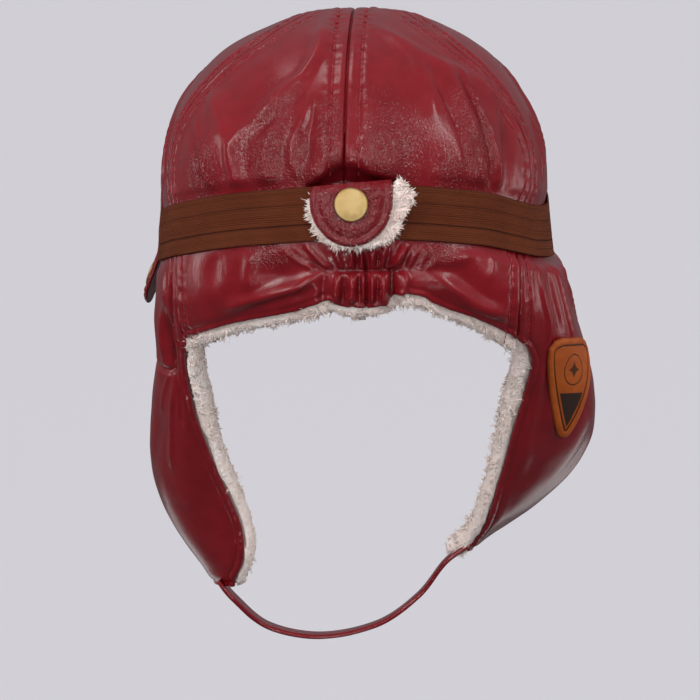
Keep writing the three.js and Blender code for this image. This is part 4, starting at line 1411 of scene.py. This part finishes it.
# Chin strap
# A flat strap of the same leathercloth, folded double and edge stitched, that is sewn between
# the ear flaps' tips and passes under the chin.

CHIN_WIDTH, CHIN_THICK = 20, 2


def under_tip(angle, z):
    return above(angle, np.array(0.0), np.array(z), np.array(-2.0))


chin_route = np.array([
    under_tip(-81, -266), under_tip(-81, -275), (-46, 60, -288), (-20, 62, -293), (8, 62, -287),
    (28, 61, -273), under_tip(83.5, -257), under_tip(83.5, -248)])
share = np.linspace(0, len(chin_route) - 1, 701)
dense = np.stack([through(chin_route[:, k], share) for k in range(3)], -1)
run = way_along(dense)
at = np.linspace(0, run[-1], 161)
line = np.stack([np.interp(at, run, dense[:, k]) for k in range(3)], -1)
way = unit(np.gradient(line, axis=0))
out = unit(np.cross(np.array([0, 1.0, 0]), way))
out = np.where(out[:, 2:] > 0, -out, out)
across = crowded(24, 0.7) * CHIN_WIDTH - CHIN_WIDTH / 2
sideways = across[None] + 0 * at[:, None]
gap = CHIN_WIDTH / 2 - np.abs(sideways)
base = line[:, None] + sideways[..., None] * np.array([0, 1.0, 0])
lift = 0.3 * hump(gap, 1.2, 0.8) - 0.3 * hump(gap, 2.5, 0.5) + 0.12 * unevenness(base, 8, 61)
low_side = base + out[:, None] * (CHIN_THICK / 2 + lift - rounded(gap, 0.9))[..., None]
high_side = base - out[:, None] * (CHIN_THICK / 2 - rounded(gap, 0.9))[..., None]
chin = shell_piece("chin_strap_leather", low_side, high_side, burgundy, {"lift": lift})
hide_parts("chin_strap")


# Stage, light and camera
# A round sweep of pale card stands round the hat. Broad soft light fills the shade, and narrow
# strips and boxes give the leather its highlights. The camera looks at the hat's back, level
# with its middle and turned 2 degrees.

FLOOR, FLAT, BEND, WALL_TOP = -900, 2600, 1200, 4200


def pale_card(shade):
    clouds = shade.noise(shade.spot(), 300, 1.0)
    return {
        "Base Color": (clouds * 0.06).blend(colour(120, 120, 122), colour(112, 112, 114)),
        "Roughness": 0.95,
        "Specular IOR Level": 0.0,
        "Emission Color": colour(205, 203, 209),
        "Emission Strength": 0.9,
    }


tilt = np.linspace(0, 1.5, 14)
radius = np.array([1, *(FLAT + BEND * np.sin(tilt)), FLAT + BEND + 100])[:, None]
height = np.array([FLOOR, *(FLOOR + BEND * (1 - np.cos(tilt))), WALL_TOP])[:, None]
turn = np.linspace(0, 2 * np.pi, 72, endpoint=False)
card = np.stack([radius * np.cos(turn), radius * np.sin(turn), height + 0 * turn], -1)
sweep = solid("sweep", card.reshape(-1, 3), ring_faces(len(card) - 1, 72).tolist(),
              finish("pale card", pale_card))
sweep.visible_glossy = False
sweep.visible_diffuse = False


LIT = np.array([0, 0, -0.12])


def soft_box(name, position, size, power):
    """A soft box that faces the middle of the hat, in metres and watts"""
    lamp = bpy.data.lights.new(name, "AREA")
    lamp.shape, lamp.size, lamp.size_y = "RECTANGLE", size[0], size[1]
    lamp.energy = power
    box = bpy.data.objects.new(name, lamp)
    way = LIT - np.array(position)
    yaw = math.atan2(way[1], way[0]) - math.pi / 2
    pitch = math.atan2(way[2], math.hypot(way[0], way[1])) + math.pi / 2
    box.location, box.rotation_euler = position, (pitch, 0, yaw)
    box.visible_camera = False
    bpy.context.scene.collection.objects.link(box)
    return box


# Broad soft light that the glossy leather doesn't mirror, then strips and boxes that it does
for name, position, size, power in (
        ("back fill", (0.0, -1.9, 1.7), 1.4, 25), ("low fill", (0.0, -1.9, -1.2), 1.0, 3),
        ("right fill", (2.3, 0.1, 0.5), 1.4, 17), ("left fill", (-2.3, 0.1, 0.5), 1.4, 18),
        ("front fill", (0.2, 2.3, 0.9), 1.4, 36)):
    soft_box(name, position, (size, size), power).visible_glossy = False
for name, position, size, power in (
        ("left card", (-1.4, -1.79, 0.65), (0.65, 1.6), 5),
        ("left strip", (-1.4, -1.79, 0.55), (0.2, 1.5), 15),
        ("far left strip", (-2.24, 0.52, 0.0), (0.2, 0.7), 3),
        ("middle box", (0.45, -2.2, 0.4), (0.3, 0.6), 6),
        ("right strip", (1.9, -1.1, 0.75), (0.2, 1.5), 13),
        ("far right strip", (2.16, 0.79, -0.12), (0.3, 0.9), 3),
        ("near left box", (-0.52, -2.2, -0.7), (0.14, 0.7), 5.5),
        ("near right box", (0.5, -2.2, -0.7), (0.14, 0.7), 5.5),
        ("top box", (-0.5, 0.0, 1.9), (0.7, 0.6), 4),
        ("low front left card", (-0.9, 1.7, -1.1), (0.7, 0.8), 1.6),
        ("low front right card", (0.9, 1.7, -1.1), (0.7, 0.8), 1.6),
        ("gather box", (0.1, -1.5, -1.8), (0.5, 0.2), 8)):
    soft_box(name, position, size, power)

world = bpy.data.worlds.new("studio")
bpy.context.scene.world = world
world.use_nodes = True
sky = Shade(world.node_tree)
upward = sky.node("SeparateXYZ", {}, {0: sky.node("TexCoord", output="Generated")}, "Z")
tone = upward.within(-0.35, 0.95).blend((0.1, 0.1, 0.105, 1), (0.28, 0.28, 0.3, 1))
world.node_tree.links.new(tone.socket, world.node_tree.nodes["Background"].inputs["Color"])
bpy.context.scene.view_settings.view_transform = "Standard"

camera_data = bpy.data.cameras.new("camera")
camera_data.lens, camera_data.sensor_width = 162.4, 36
camera = bpy.data.objects.new("camera", camera_data)
camera.location = (0.04879, -1.4992, -0.152)
camera.rotation_euler = (math.radians(90), 0, math.radians(2))
bpy.context.scene.collection.objects.link(camera)
bpy.context.scene.camera = camera
